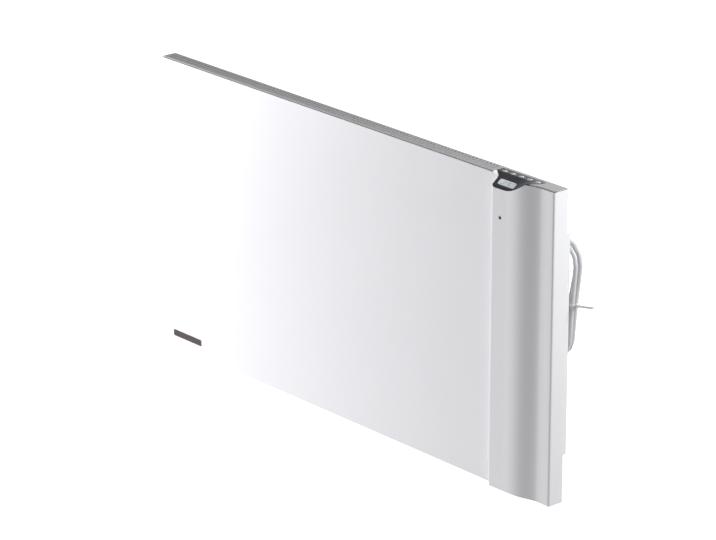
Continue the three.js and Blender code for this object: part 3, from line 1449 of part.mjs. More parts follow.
const white = finish(0xf2f2f4, 0.45, 0);
const silverGrey = finish(0xa6a7a9, 0.5, 0.3);
const blackGloss = finish(0x2c3036, 0.25, 0);
const silverPlastic = finish(0xb9bcc0, 0.4, 0.2);
const lcdGlass = finish(0xc9d4e4, 0.15, 0);
const darkPlastic = finish(0x35383d, 0.4, 0);
const circuitBoard = finish(0x2f6b45, 0.6, 0);
const greyPlastic = finish(0x8d9095, 0.6, 0);
const galvanised = finish(0xb7babd, 0.4, 0.8);
const aluminium = finish(0xcfd2d6, 0.35, 0.9);
const steel = finish(0x9a9da1, 0.3, 0.9);
const brightSteel = finish(0xd6d8da, 0.2, 0.95);
const ceramic = finish(0xefe9dc, 0.5, 0);
const brassPins = finish(0xc9c4b4, 0.3, 0.9);
const lightCord = finish(0xd4d4d6, 0.6, 0);
const copperRed = finish(0x7a3b2a, 0.6, 0);
const wireBlue = finish(0x3a5e9c, 0.6, 0);
const plateBrown = finish(0x6b625d, 0.4, 0.3);
const rubber = finish(0x3b3b3d, 0.85, 0);

const model = new THREE.Group();
const heater = new THREE.Group();
const bracket = new THREE.Group();
model.add(bracket, heater);

function add(parent, name, geometry, material) {
  const mesh = new THREE.Mesh(geometry, material());
  mesh.name = name;
  parent.add(mesh);
}

add(bracket, 'bracket_upper_rail', upperRail(), galvanised);
add(bracket, 'bracket_lower_rail', lowerRail(), galvanised);
add(bracket, 'bracket_spine', bracketSpine(), galvanised);

add(heater, 'front_panel', frontPanel(), white);
add(heater, 'top_grille', topGrille(), silverGrey);
add(heater, 'bottom_grille', bottomGrille(), white);
add(heater, 'lower_rear_plate', lowerRearPlate(), white);
add(heater, 'rear_cover', rearCover(), white);
add(heater, 'side_rail_left', sideRail(-1), galvanised);
add(heater, 'side_rail_right', sideRail(1), galvanised);
screwPlaces().forEach((place, i) => {
  add(heater, `cover_screw_${i + 1}`, coverScrew(place), steel);
});
add(heater, 'name_plate', namePlate(), plateBrown);
add(heater, 'wall_spacer_left', wallSpacer(-1), rubber);
add(heater, 'wall_spacer_right', wallSpacer(1), rubber);

add(heater, 'control_bezel', controlBezel(), blackGloss);
add(heater, 'display_window', displayWindow(), lcdGlass);
add(heater, 'lcd_module', lcdModule(), greyPlastic);
add(heater, 'display_board', displayBoard(), circuitBoard);
add(heater, 'button_board', buttonBoard(), circuitBoard);
add(heater, 'key_mat', keyMat(), rubber);
for (let i = 0; i < BUTTON.count; i += 1) {
  add(heater, `button_${i + 1}`, button(i), silverPlastic);
}
add(heater, 'sensor_window', sensorWindow(), darkPlastic);
add(heater, 'presence_sensor', presenceSensor(), steel);

add(heater, 'control_partition', controlPartition(), galvanised);
add(heater, 'power_board', powerBoard(), circuitBoard);
add(heater, 'board_carrier', boardCarrier(), greyPlastic);
add(heater, 'relay', onBoard(RELAY), darkPlastic);
add(heater, 'capacitor', onBoard(CAPACITOR), plateBrown);
add(heater, 'transformer', onBoard(TRANSFORMER), darkPlastic);
add(heater, 'heat_sink', heatSink(), aluminium);
add(heater, 'terminal_block', terminalBlock(), greyPlastic);
add(heater, 'ribbon_cable', ribbonCable(), greyPlastic);
add(heater, 'room_sensor', roomSensor(), ceramic);
add(heater, 'sensor_clip', sensorClip(), greyPlastic);

add(heater, 'element_fins', elementFins(), aluminium);
add(heater, 'element_rod', elementRod(), steel);
add(heater, 'element_bracket_left', elementBracket(-1), galvanised);
add(heater, 'element_bracket_right', elementBracket(1), galvanised);
add(heater, 'heat_shield', heatShield(), brightSteel);
add(heater, 'thermal_cutout', thermalCutout(), darkPlastic);
add(heater, 'live_wire', liveWire(), copperRed);
add(heater, 'neutral_wire', neutralWire(), wireBlue);
add(heater, 'return_wire', returnWire(), copperRed);

add(heater, 'cable_outlet', cableOutlet(), lightCord);
add(heater, 'bend_protector', bendProtector(), lightCord);
add(heater, 'cord_lead', cordLead(), lightCord);
add(heater, 'cord_hank', cordHank(), lightCord);
add(heater, 'cord_tail', cordTail(), lightCord);
add(heater, 'mains_plug', mainsPlug(), lightCord);
add(heater, 'plug_pin_left', plugPin(-1), brassPins);
add(heater, 'plug_pin_right', plugPin(1), brassPins);
add(heater, 'cable_tie', cableTie(), lightCord);

export default model;
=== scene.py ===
"""Looks of the wall panel convector heater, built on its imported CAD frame."""

import math

import bmesh
import bpy
from mathutils import Matrix, Vector


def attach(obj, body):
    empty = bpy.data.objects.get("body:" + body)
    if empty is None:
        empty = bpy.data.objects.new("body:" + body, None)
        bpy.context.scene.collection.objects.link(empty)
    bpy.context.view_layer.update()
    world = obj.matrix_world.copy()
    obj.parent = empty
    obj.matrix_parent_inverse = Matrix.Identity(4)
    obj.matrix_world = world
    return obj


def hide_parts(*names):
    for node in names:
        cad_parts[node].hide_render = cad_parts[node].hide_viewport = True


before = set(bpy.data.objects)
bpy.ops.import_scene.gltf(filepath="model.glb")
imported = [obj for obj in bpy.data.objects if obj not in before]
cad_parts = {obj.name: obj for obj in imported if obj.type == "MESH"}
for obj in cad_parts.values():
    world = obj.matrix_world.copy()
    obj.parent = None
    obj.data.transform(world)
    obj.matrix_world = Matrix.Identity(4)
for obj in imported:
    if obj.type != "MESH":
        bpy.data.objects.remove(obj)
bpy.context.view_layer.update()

bl_info = {
    "name": "Wall panel heater",
    "version": (1, 0, 0),
    "blender": (4, 5, 0),
    "location": "View3D > Sidebar > Heater",
    "description": "Builds the visible pieces and finishes of a wall panel convector heater",
    "category": "Add Mesh",
}

MM = 0.001

# ------------------------------------------------------------------ the heater's own form

# All lengths here are millimetres in the frame of the CAD.
RIGHT = 447.0
LEFT = -447.0
FRONT = -54.0
FRAME_BACK = -27.0
BOTTOM = -250.0
TOP = 233.0
FIT = 0.3
STEP_FROM_RIGHT = 118.0
STEP_RISE = 10.7
CREST_RISE = 10.0
CREST_FROM_RIGHT = 88.0
TROUGH_FROM_RIGHT = 24.0
FALL_SKEW = 1.6
BEZEL_LEFT = 128.0
BEZEL_RIGHT = 38.5
BEZEL_BACK = 21.0
BAND_FRONT = 9.0
SLANT = 14.7 / 20.0
LOBE_DROP = 18.3
LOBE_FLAT_TO = 94.0
LOBE_END = 52.0
LOBE_CORNER = 3.8
RIGHT_CORNER = 3.0
PANEL_GAUGE = 0.9
PANEL_SHY = 1.4
LOBE_LEFT = STEP_FROM_RIGHT - PANEL_GAUGE - FIT
BUTTON_FIRST = 116.0
BUTTON_PITCH = 17.1
BUTTON_BEHIND = 13.2
BUTTON_LENGTH = 10.5
BUTTON_BREADTH = 6.8
BUTTON_PROUD = 0.5
SENSOR_FROM_RIGHT = 101.0
SENSOR_BELOW_TOP = 61.6


def clamp(value, low=0.0, high=1.0):
    return max(low, min(high, value))


def lerp(a, b, share):
    return a + (b - a) * share


def smooth(value, low, high):
    share = clamp((value - low) / (high - low))
    return share * share * (3 - 2 * share)


def spread(start, end, steps):
    return [lerp(start, end, i / steps) for i in range(steps + 1)]


def wave_rise(from_right):
    """How far the front stands proud of the flat panel."""
    if from_right > STEP_FROM_RIGHT or from_right < TROUGH_FROM_RIGHT:
        return 0.0
    if from_right >= CREST_FROM_RIGHT:
        share = (from_right - CREST_FROM_RIGHT) / (STEP_FROM_RIGHT - CREST_FROM_RIGHT)
        return lerp(CREST_RISE, STEP_RISE, share)
    fall = (CREST_FROM_RIGHT - from_right) / (CREST_FROM_RIGHT - TROUGH_FROM_RIGHT)
    return CREST_RISE * (1 + math.cos(math.pi * fall ** FALL_SKEW)) / 2


def slant_drop(behind_front):
    return max(0.0, SLANT * (BAND_FRONT - behind_front))


def lobe_drop(from_right):
    """Lower edge of the bezel where it meets the wave, below the top."""
    shoulder = LOBE_LEFT - LOBE_CORNER
    if from_right > shoulder:
        reach = max(0.0, LOBE_CORNER ** 2 - (from_right - shoulder) ** 2)
        return LOBE_DROP - LOBE_CORNER + math.sqrt(reach)
    share = clamp((LOBE_FLAT_TO - from_right) / (LOBE_FLAT_TO - LOBE_END))
    return LOBE_DROP * math.cos(math.pi / 2 * share)


def bezel_left_edge(from_right):
    share = clamp((from_right - LOBE_LEFT) / (BEZEL_LEFT - LOBE_LEFT))
    return lerp(PANEL_GAUGE + FIT + 0.1, BAND_FRONT, share ** 0.8)


def bezel_right_edge(from_right):
    start = -wave_rise(LOBE_END) + PANEL_GAUGE + 2 * FIT
    share = (LOBE_END - from_right) / (LOBE_END - BEZEL_RIGHT)
    return lerp(start, BAND_FRONT + RIGHT_CORNER, share)


# ------------------------------------------------------------------ mesh helpers


def link(name, mesh_or_curve):
    piece = bpy.data.objects.new(name, mesh_or_curve)
    bpy.context.scene.collection.objects.link(piece)
    return piece


def mesh_piece(name, points, faces, body="heater"):
    """A new piece from points in millimetres, riding on a body."""
    mesh = bpy.data.meshes.new(name)
    mesh.from_pydata([[c * MM for c in p] for p in points], [], faces)
    mesh.validate()
    piece = link(name, mesh)
    tidy_normals(piece)
    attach(piece, body)
    return piece


def tidy_normals(piece):
    work = bmesh.new()
    work.from_mesh(piece.data)
    bmesh.ops.remove_doubles(work, verts=work.verts, dist=1e-7)
    bmesh.ops.recalc_face_normals(work, faces=work.faces)
    work.to_mesh(piece.data)
    work.free()


def shade(piece, degrees=32):
    """Smooth shading with creases kept where faces meet at more than the angle."""
    piece.data.shade_smooth()
    piece.data.set_sharp_from_angle(angle=math.radians(degrees))


def loft_faces(rows, count, closed=True):
    faces = []
    for row in range(rows - 1):
        for i in range(count if closed else count - 1):
            j = (i + 1) % count
            a = row * count
            faces.append([a + i, a + j, a + count + j, a + count + i])
    return faces


def loft(name, sections, body="heater", caps=True):
    """One closed body through equal outlines."""
    count = len(sections[0])
    points = [p for section in sections for p in section]
    faces = loft_faces(len(sections), count)
    if caps:
        faces.append(list(range(count))[::-1])
        last = (len(sections) - 1) * count
        faces.append([last + i for i in range(count)])
    return mesh_piece(name, points, faces, body)


def ring(radius_x, radius_y, steps=48, power=2.0):
    """Outline of an ellipse, or of a fuller shape with a higher power."""
    points = []
    for i in range(steps):
        angle = math.tau * i / steps
        c, s = math.cos(angle), math.sin(angle)
        points.append((
            math.copysign(abs(c) ** (2 / power), c) * radius_x,
            math.copysign(abs(s) ** (2 / power), s) * radius_y,
        ))
    return points


def add_bevel(piece, width_mm, segments=3, degrees=30):
    bevel = piece.modifiers.new("soft_edges", "BEVEL")
    bevel.width = width_mm * MM
    bevel.segments = segments
    bevel.limit_method = "ANGLE"
    bevel.angle_limit = math.radians(degrees)
    bevel.use_clamp_overlap = True
    bevel.harden_normals = False
    bevel.miter_outer = "MITER_ARC"
    return bevel


def applied(piece):
    """Bakes a new piece's modifiers into its mesh."""
    graph = bpy.context.evaluated_depsgraph_get()
    graph.update()
    mesh = bpy.data.meshes.new_from_object(piece.evaluated_get(graph))
    piece.modifiers.clear()
    old = piece.data
    piece.data = mesh
    mesh.name = piece.name
    bpy.data.meshes.remove(old)


def cut_with(piece, tools):
    """Takes the tool pieces out of a piece and removes them."""
    for tool in tools:
        cut = piece.modifiers.new("cut", "BOOLEAN")
        cut.operation = "DIFFERENCE"
        cut.solver = "EXACT"
        cut.object = tool
    bpy.context.view_layer.update()
    applied(piece)
    for tool in tools:
        mesh = tool.data
        bpy.data.objects.remove(tool)
        bpy.data.meshes.remove(mesh)


def slant_point(from_right, slope, depth):
    """Point on the bezel's slanted face: slope runs down the face, depth into it."""
    angle = math.atan(SLANT)
    y = -slope * math.cos(angle) + depth * math.sin(angle)
    z = -slope * math.sin(angle) - depth * math.cos(angle)
    return (RIGHT - from_right, FRONT + BAND_FRONT + y, TOP + z)


# ------------------------------------------------------------------ settings


def colour(name, text, value):
    return bpy.props.FloatVectorProperty(
        name=name, description=text, default=(*value, 1.0), subtype="COLOR", size=4, min=0.0, max=1.0)


def length(name, text, value, low=0.0, high=1.0):
    return bpy.props.FloatProperty(
        name=name, description=text, default=value, min=low, max=high, unit="LENGTH", precision=5)


class HeaterSizes(bpy.types.PropertyGroup):
    cord_diameter: length("Cord diameter", "Outside diameter of the mains cord", 0.007, 0.005, 0.009)
    edge_round: length("Edge rounding", "Rounding of folded sheet edges", 0.0006, 0.0, 0.002)
    button_crown: length("Button crown", "How far a button's middle stands above its rim", 0.0005, 0.0, 0.001)
    grille_pitch: length("Grille pitch", "Distance between the outlet grille's bars", 0.0075, 0.004, 0.02)
    floor_drop: length("Floor depth", "Floor below the middle of the bracket", 0.9, 0.3, 3.0)
    camera_distance: length("Camera distance", "From the camera to the middle of the heater", 5.6326, 1.0, 20.0)


class HeaterColours(bpy.types.PropertyGroup):
    white_coat: colour("White coat", "Powder coat of the casing", (0.86, 0.865, 0.885))
    grey_coat: colour("Grey coat", "Paint of the outlet grille", (0.42, 0.42, 0.43))
    bezel: colour("Bezel", "Glossy plastic of the control bezel", (0.022, 0.026, 0.034))
    button: colour("Buttons", "Silver plastic of the buttons", (0.42, 0.43, 0.45))
    display: colour("Display", "Unlit display ground", (0.78, 0.83, 0.89))
    cord: colour("Cord", "Sheath of the mains cord", (0.68, 0.68, 0.70))
    plate: colour("Blank plate", "Plate at the lower left", (0.085, 0.07, 0.06))
    zinc: colour("Zinc", "Galvanised bracket and inner sheets", (0.50, 0.51, 0.53))
    floor: colour("Floor", "Studio floor", (0.5, 0.5, 0.5))


def sizes():
    return bpy.context.scene.heater_sizes


def colours():
    return bpy.context.scene.heater_colours


# ------------------------------------------------------------------ node groups


def new_group(name, inputs, outputs):
    """An empty shader node group with named sockets."""
    group = bpy.data.node_groups.new(name, "ShaderNodeTree")
    for socket, kind, default in inputs:
        made = group.interface.new_socket(socket, in_out="INPUT", socket_type=kind)
        if default is not None:
            made.default_value = default
    for socket, kind in outputs:
        group.interface.new_socket(socket, in_out="OUTPUT", socket_type=kind)
    return group, group.nodes.new("NodeGroupInput"), group.nodes.new("NodeGroupOutput")


def wire(tree, source, target):
    tree.links.new(target, source)


def math_node(tree, operation, a, b=None, clamped=False):
    node = tree.nodes.new("ShaderNodeMath")
    node.operation = operation
    node.use_clamp = clamped
    for socket, value in zip(node.inputs, (a, b)):
        if value is None:
            continue
        if isinstance(value, (int, float)):
            socket.default_value = value
        else:
            wire(tree, value, socket)
    return node.outputs[0]


def noise_node(tree, vector, scale, detail=3.0, roughness=0.5):
    node = tree.nodes.new("ShaderNodeTexNoise")
    node.inputs["Detail"].default_value = detail
    node.inputs["Roughness"].default_value = roughness
    wire(tree, vector, node.inputs["Vector"])
    if isinstance(scale, (int, float)):
        node.inputs["Scale"].default_value = scale
    else:
        wire(tree, scale, node.inputs["Scale"])
    return node.outputs["Fac"]


def mix_colours(tree, share, first, second, mode="MIX"):
    node = tree.nodes.new("ShaderNodeMix")
    node.data_type = "RGBA"
    node.blend_type = mode
    wire(tree, share, node.inputs["Factor"])
    for socket, value in ((node.inputs["A"], first), (node.inputs["B"], second)):
        if isinstance(value, (tuple, list)):
            socket.default_value = value
        else:
            wire(tree, value, socket)
    return node.outputs["Result"]


def coat_grain_group():
    """Fine orange peel of a sprayed or powder coat, with a faint drift of tone."""
    group, source, target = new_group("coat_grain", [
        ("Colour", "NodeSocketColor", (0.8, 0.8, 0.8, 1)),
        ("Drift", "NodeSocketFloat", 0.03),
        ("Grain Scale", "NodeSocketFloat", 1500.0),
        ("Roughness", "NodeSocketFloat", 0.4),
        ("Roughness Drift", "NodeSocketFloat", 0.06),
    ], [("Colour", "NodeSocketColor"), ("Roughness", "NodeSocketFloat"), ("Height", "NodeSocketFloat")])
    place = group.nodes.new("ShaderNodeTexCoord").outputs["Object"]
    grain = noise_node(group, place, source.outputs["Grain Scale"], 2.0, 0.55)
    cloud = noise_node(group, place, 9.0, 3.0, 0.5)
    tone = math_node(group, "MULTIPLY", math_node(group, "SUBTRACT", cloud, 0.5), source.outputs["Drift"])
    bright = math_node(group, "ADD", tone, 1.0)
    scaled = group.nodes.new("ShaderNodeVectorMath")
    scaled.operation = "SCALE"
    wire(group, source.outputs["Colour"], scaled.inputs[0])
    wire(group, bright, scaled.inputs["Scale"])
    wire(group, scaled.outputs["Vector"], target.inputs["Colour"])
    drift = math_node(group, "MULTIPLY", math_node(group, "SUBTRACT", cloud, 0.5),
                      source.outputs["Roughness Drift"])
    wire(group, math_node(group, "ADD", source.outputs["Roughness"], drift, True), target.inputs["Roughness"])
    wire(group, grain, target.inputs["Height"])
    return group


def spangle_group():
    """Zinc crystals of a hot-dip coat: cells of slightly different tone and gloss."""
    group, source, target = new_group("zinc_spangle", [
        ("Colour", "NodeSocketColor", (0.6, 0.6, 0.62, 1)),
        ("Cell Scale", "NodeSocketFloat", 160.0),
        ("Contrast", "NodeSocketFloat", 0.25),
        ("Roughness", "NodeSocketFloat", 0.38),
    ], [("Colour", "NodeSocketColor"), ("Roughness", "NodeSocketFloat"), ("Height", "NodeSocketFloat")])
    place = group.nodes.new("ShaderNodeTexCoord").outputs["Object"]
    cells = group.nodes.new("ShaderNodeTexVoronoi")
    wire(group, place, cells.inputs["Vector"])
    wire(group, source.outputs["Cell Scale"], cells.inputs["Scale"])
    split = group.nodes.new("ShaderNodeSeparateColor")
    wire(group, cells.outputs["Color"], split.inputs["Color"])
    tone = math_node(group, "SUBTRACT", split.outputs[0], 0.5)
    bright = math_node(group, "ADD", math_node(group, "MULTIPLY", tone, source.outputs["Contrast"]), 1.0)
    scaled = group.nodes.new("ShaderNodeVectorMath")
    scaled.operation = "SCALE"
    wire(group, source.outputs["Colour"], scaled.inputs[0])
    wire(group, bright, scaled.inputs["Scale"])
    wire(group, scaled.outputs["Vector"], target.inputs["Colour"])
    rough = math_node(group, "MULTIPLY", math_node(group, "SUBTRACT", split.outputs[1], 0.5), 0.2)
    wire(group, math_node(group, "ADD", source.outputs["Roughness"], rough, True), target.inputs["Roughness"])
    wire(group, cells.outputs["Distance"], target.inputs["Height"])
    return group


def worn_edge_group():
    """Mask of slightly rubbed convex edges, broken up by noise."""
    group, source, target = new_group("rubbed_edges", [
        ("Amount", "NodeSocketFloat", 0.3),
        ("Break Up Scale", "NodeSocketFloat", 120.0),
    ], [("Mask", "NodeSocketFloat")])
    geometry = group.nodes.new("ShaderNodeNewGeometry")
    place = group.nodes.new("ShaderNodeTexCoord").outputs["Object"]
    patchy = noise_node(group, place, source.outputs["Break Up Scale"], 4.0, 0.6)
    edge = math_node(group, "MULTIPLY", math_node(group, "SUBTRACT", geometry.outputs["Pointiness"], 0.52), 12.0, True)
    worn = math_node(group, "MULTIPLY", edge, patchy)
    wire(group, math_node(group, "MULTIPLY", worn, source.outputs["Amount"], True), target.inputs["Mask"])
    return group


def moulded_group():
    """Fine spark-eroded grain of moulded plastic."""
    group, source, target = new_group("moulded_grain", [
        ("Colour", "NodeSocketColor", (0.5, 0.5, 0.5, 1)),
        ("Grain Scale", "NodeSocketFloat", 2200.0),
        ("Roughness", "NodeSocketFloat", 0.5),
        ("Tone Drift", "NodeSocketFloat", 0.06),
    ], [("Colour", "NodeSocketColor"), ("Roughness", "NodeSocketFloat"), ("Height", "NodeSocketFloat")])
    place = group.nodes.new("ShaderNodeTexCoord").outputs["Object"]
    grain = noise_node(group, place, source.outputs["Grain Scale"], 4.0, 0.7)
    cloud = noise_node(group, place, 45.0, 2.0, 0.5)
    tone = math_node(group, "MULTIPLY", math_node(group, "SUBTRACT", cloud, 0.5), source.outputs["Tone Drift"])
    scaled = group.nodes.new("ShaderNodeVectorMath")
    scaled.operation = "SCALE"
    wire(group, source.outputs["Colour"], scaled.inputs[0])
    wire(group, math_node(group, "ADD", tone, 1.0), scaled.inputs["Scale"])
    wire(group, scaled.outputs["Vector"], target.inputs["Colour"])
    rough = math_node(group, "MULTIPLY", math_node(group, "SUBTRACT", grain, 0.5), 0.12)
    wire(group, math_node(group, "ADD", source.outputs["Roughness"], rough, True), target.inputs["Roughness"])
    wire(group, grain, target.inputs["Height"])
    return group


GROUPS = {}


def node_group(name):
    makers = {
        "coat_grain": coat_grain_group,
        "zinc_spangle": spangle_group,
        "rubbed_edges": worn_edge_group,
        "moulded_grain": moulded_group,
    }
    if name not in GROUPS:
        GROUPS[name] = makers[name]()
    return GROUPS[name]


# ------------------------------------------------------------------ materials


def material(name):
    made = bpy.data.materials.new(name)
    made.use_nodes = True
    return made, made.node_tree, made.node_tree.nodes["Principled BSDF"]


def place_group(tree, name, **values):
    node = tree.nodes.new("ShaderNodeGroup")
    node.node_tree = node_group(name)
    for socket, value in values.items():
        node.inputs[socket.replace("_", " ")].default_value = value
    return node


def bump(tree, shader, height, strength, distance=0.0001):
    node = tree.nodes.new("ShaderNodeBump")
    node.inputs["Strength"].default_value = strength
    node.inputs["Distance"].default_value = distance
    wire(tree, height, node.inputs["Height"])
    wire(tree, node.outputs["Normal"], shader.inputs["Normal"])
    return node


def coated(name, tone, roughness=0.42, drift=0.03, grain=1500.0, relief=0.12, coat=0.0, metal=0.0,
           rubbed=0.0, rub_tone=(0.9, 0.9, 0.92, 1)):
    """Painted sheet: coat grain, drift of tone and rubbed edges."""
    made, tree, shader = material(name)
    effect = place_group(tree, "coat_grain", Colour=tuple(tone), Drift=drift, Grain_Scale=grain,
                         Roughness=roughness)
    base = effect.outputs["Colour"]
    if rubbed:
        edges = place_group(tree, "rubbed_edges", Amount=rubbed)
        base = mix_colours(tree, edges.outputs["Mask"], base, rub_tone)
    wire(tree, base, shader.inputs["Base Color"])
    wire(tree, effect.outputs["Roughness"], shader.inputs["Roughness"])
    shader.inputs["Coat Weight"].default_value = coat
    shader.inputs["Coat Roughness"].default_value = 0.12
    shader.inputs["Metallic"].default_value = metal
    bump(tree, shader, effect.outputs["Height"], relief)
    return made


def moulded(name, tone, roughness=0.5, grain=2200.0, relief=0.15, coat=0.0, drift=0.06, rubbed=0.0):
    """Moulded plastic or rubber with its fine grain."""
    made, tree, shader = material(name)
    effect = place_group(tree, "moulded_grain", Colour=tuple(tone), Grain_Scale=grain, Roughness=roughness,
                         Tone_Drift=drift)
    base = effect.outputs["Colour"]
    if rubbed:
        edges = place_group(tree, "rubbed_edges", Amount=rubbed)
        base = mix_colours(tree, edges.outputs["Mask"], base, (0.6, 0.6, 0.62, 1))
    wire(tree, base, shader.inputs["Base Color"])
    wire(tree, effect.outputs["Roughness"], shader.inputs["Roughness"])
    shader.inputs["Coat Weight"].default_value = coat
    shader.inputs["Coat Roughness"].default_value = 0.05
    bump(tree, shader, effect.outputs["Height"], relief, 0.00005)
    return made


def metal_sheet(name, tone, roughness=0.38, cells=160.0, contrast=0.25, relief=0.05):
    """Zinc-coated steel."""
    made, tree, shader = material(name)
    effect = place_group(tree, "zinc_spangle", Colour=tuple(tone), Cell_Scale=cells, Contrast=contrast,
                         Roughness=roughness)
    wire(tree, effect.outputs["Colour"], shader.inputs["Base Color"])
    wire(tree, effect.outputs["Roughness"], shader.inputs["Roughness"])
    shader.inputs["Metallic"].default_value = 0.85
    bump(tree, shader, effect.outputs["Height"], relief, 0.00005)
    return made


def drawn_metal(name, tone, roughness=0.3, along=(1.0, 60.0, 60.0), contrast=0.2):
    """Extruded, rolled or turned metal with fine lines along one direction."""
    made, tree, shader = material(name)
    place = tree.nodes.new("ShaderNodeTexCoord").outputs["Object"]
    stretch = tree.nodes.new("ShaderNodeMapping")
    stretch.inputs["Scale"].default_value = along
    wire(tree, place, stretch.inputs["Vector"])
    lines = noise_node(tree, stretch.outputs["Vector"], 30.0, 4.0, 0.65)
    dark = tuple(c * (1 - contrast) for c in tone[:3]) + (1.0,)
    wire(tree, mix_colours(tree, lines, dark, tuple(tone)), shader.inputs["Base Color"])
    rough = math_node(tree, "ADD", math_node(tree, "MULTIPLY", lines, 0.2), roughness - 0.1, True)
    wire(tree, rough, shader.inputs["Roughness"])
    shader.inputs["Metallic"].default_value = 0.95
    bump(tree, shader, lines, 0.1, 0.00005)
    return made


def board_laminate(name):
    """Green board with copper tracks under the mask."""
    made, tree, shader = material(name)
    place = tree.nodes.new("ShaderNodeTexCoord").outputs["Object"]
    cells = tree.nodes.new("ShaderNodeTexVoronoi")
    cells.distance = "CHEBYCHEV"
    cells.inputs["Scale"].default_value = 170.0
    wire(tree, place, cells.inputs["Vector"])
    track = math_node(tree, "GREATER_THAN", cells.outputs["Distance"], 0.42)
    base = mix_colours(tree, track, (0.020, 0.11, 0.045, 1), (0.035, 0.19, 0.075, 1))
    wire(tree, base, shader.inputs["Base Color"])
    shader.inputs["Roughness"].default_value = 0.35
    shader.inputs["Coat Weight"].default_value = 0.4
    bump(tree, shader, track, 0.2, 0.00003)
    return made


MATERIALS = {}


def finish_of(name):
    """The material for a finish, made once."""
    if name not in MATERIALS:
        MATERIALS[name] = make_finish(name)
    return MATERIALS[name]


def make_finish(name):
    c = colours()
    makers = {
        "white_paint": lambda: coated("white_powder_coat", c.white_coat, 0.36, 0.015, 1300.0, 0.10),
        "grey_paint": lambda: coated("grey_grille_paint", c.grey_coat, 0.5, 0.05, 1700.0, 0.2),
        "galvanised": lambda: metal_sheet("galvanised_sheet", c.zinc),
        "steel": lambda: drawn_metal("turned_steel", (0.55, 0.56, 0.58, 1), 0.3),
        "bare_aluminium": lambda: drawn_metal("extruded_aluminium", (0.72, 0.73, 0.75, 1), 0.34, (1, 90, 90)),
        "plate_metal": lambda: coated("blank_plate_metal", c.plate, 0.35, 0.2, 900.0, 0.1, 0.2, 0.4),
        "black_gloss": lambda: moulded("bezel_black_gloss", c.bezel, 0.2, 900.0, 0.02, 0.1, 0.1),
        "silver_plastic": lambda: moulded("silver_button_plastic", c.button, 0.26, 1800.0, 0.05, 0.3),
        "dark_plastic": lambda: moulded("dark_moulded_plastic", (0.03, 0.03, 0.034, 1), 0.45),
        "grey_plastic": lambda: moulded("grey_moulded_plastic", (0.24, 0.245, 0.26, 1), 0.5),
        "circuit_board": lambda: board_laminate("board_laminate"),
        "black_rubber": lambda: moulded("spacer_rubber", (0.028, 0.028, 0.03, 1), 0.75, 1500.0, 0.3),
        "cord_grey": lambda: moulded("cord_sheath", c.cord, 0.42, 1600.0, 0.12, 0.0, 0.05),
        "tie_nylon": lambda: moulded("tie_nylon", (0.85, 0.85, 0.87, 1), 0.4, 1600.0, 0.05),
        "brown_sheath": lambda: moulded("brown_wire_sheath", (0.10, 0.035, 0.018, 1), 0.45),
        "blue_sheath": lambda: moulded("blue_wire_sheath", (0.02, 0.07, 0.26, 1), 0.45),
        "pin_metal": lambda: drawn_metal("nickel_pin", (0.68, 0.64, 0.52, 1), 0.22, (60, 60, 1)),
        "display_lens": display_material,
        "sensor_lens": lambda: moulded("sensor_lens_plastic", (0.05, 0.05, 0.056, 1), 0.35, 900.0, 0.02, 0.1),
    }
    return makers[name]()


def display_material():
    """Clear lens: glossy, slightly tinted, over the display's pale ground."""
    made, tree, shader = material("display_lens_clear")
    place = tree.nodes.new("ShaderNodeTexCoord").outputs["Object"]
    cloud = noise_node(tree, place, 60.0, 2.0, 0.5)
    tone = colours().display
    base = mix_colours(tree, cloud, tuple(c * 0.97 for c in tone[:3]) + (1.0,), tuple(tone))
    wire(tree, base, shader.inputs["Base Color"])
    shader.inputs["Roughness"].default_value = 0.1
    shader.inputs["Coat Weight"].default_value = 0.5
    shader.inputs["Coat Roughness"].default_value = 0.03
    return made


def paint(piece, finish):
    piece.data.materials.clear()
    piece.data.materials.append(finish_of(finish))


def dress_node(name, finish, bevel_mm=0.0, segments=2, degrees=30):
    """Softens the edges of a CAD node that stays, and gives it its finish."""
    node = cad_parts[name]
    weld = node.modifiers.new("weld", "WELD")
    weld.merge_threshold = 1e-6
    if bevel_mm:
        add_bevel(node, bevel_mm, segments, degrees)
    paint(node, finish)
    return node


# ------------------------------------------------------------------ mains cord

HANK_CENTRE = (417.5, 57.0)
HANK_RUN = 118.0
HANK_INNER = 21.0
HANK_PITCH = 8.2
LAYER_FRONT = -13.25
LAYER_BACK = -5.75
HANK_TURNS = 3
HANK_LEAN = math.radians(5.5)
WAIST_RIGHT = -1.0
WAIST_LEFT = 14.0
OUTLET_X = 390.0
CORD_Y = -9.5
CORD_EXIT_Z = 152.4
PLUG_CENTRE = (370.0, -12.5)
SLEEVE_TOP = -156.7


def lean_point(x, y, z):
    c, s = math.cos(HANK_LEAN), math.sin(HANK_LEAN)
    return Vector((HANK_CENTRE[0] + x * c + z * s, y, HANK_CENTRE[1] - x * s + z * c))


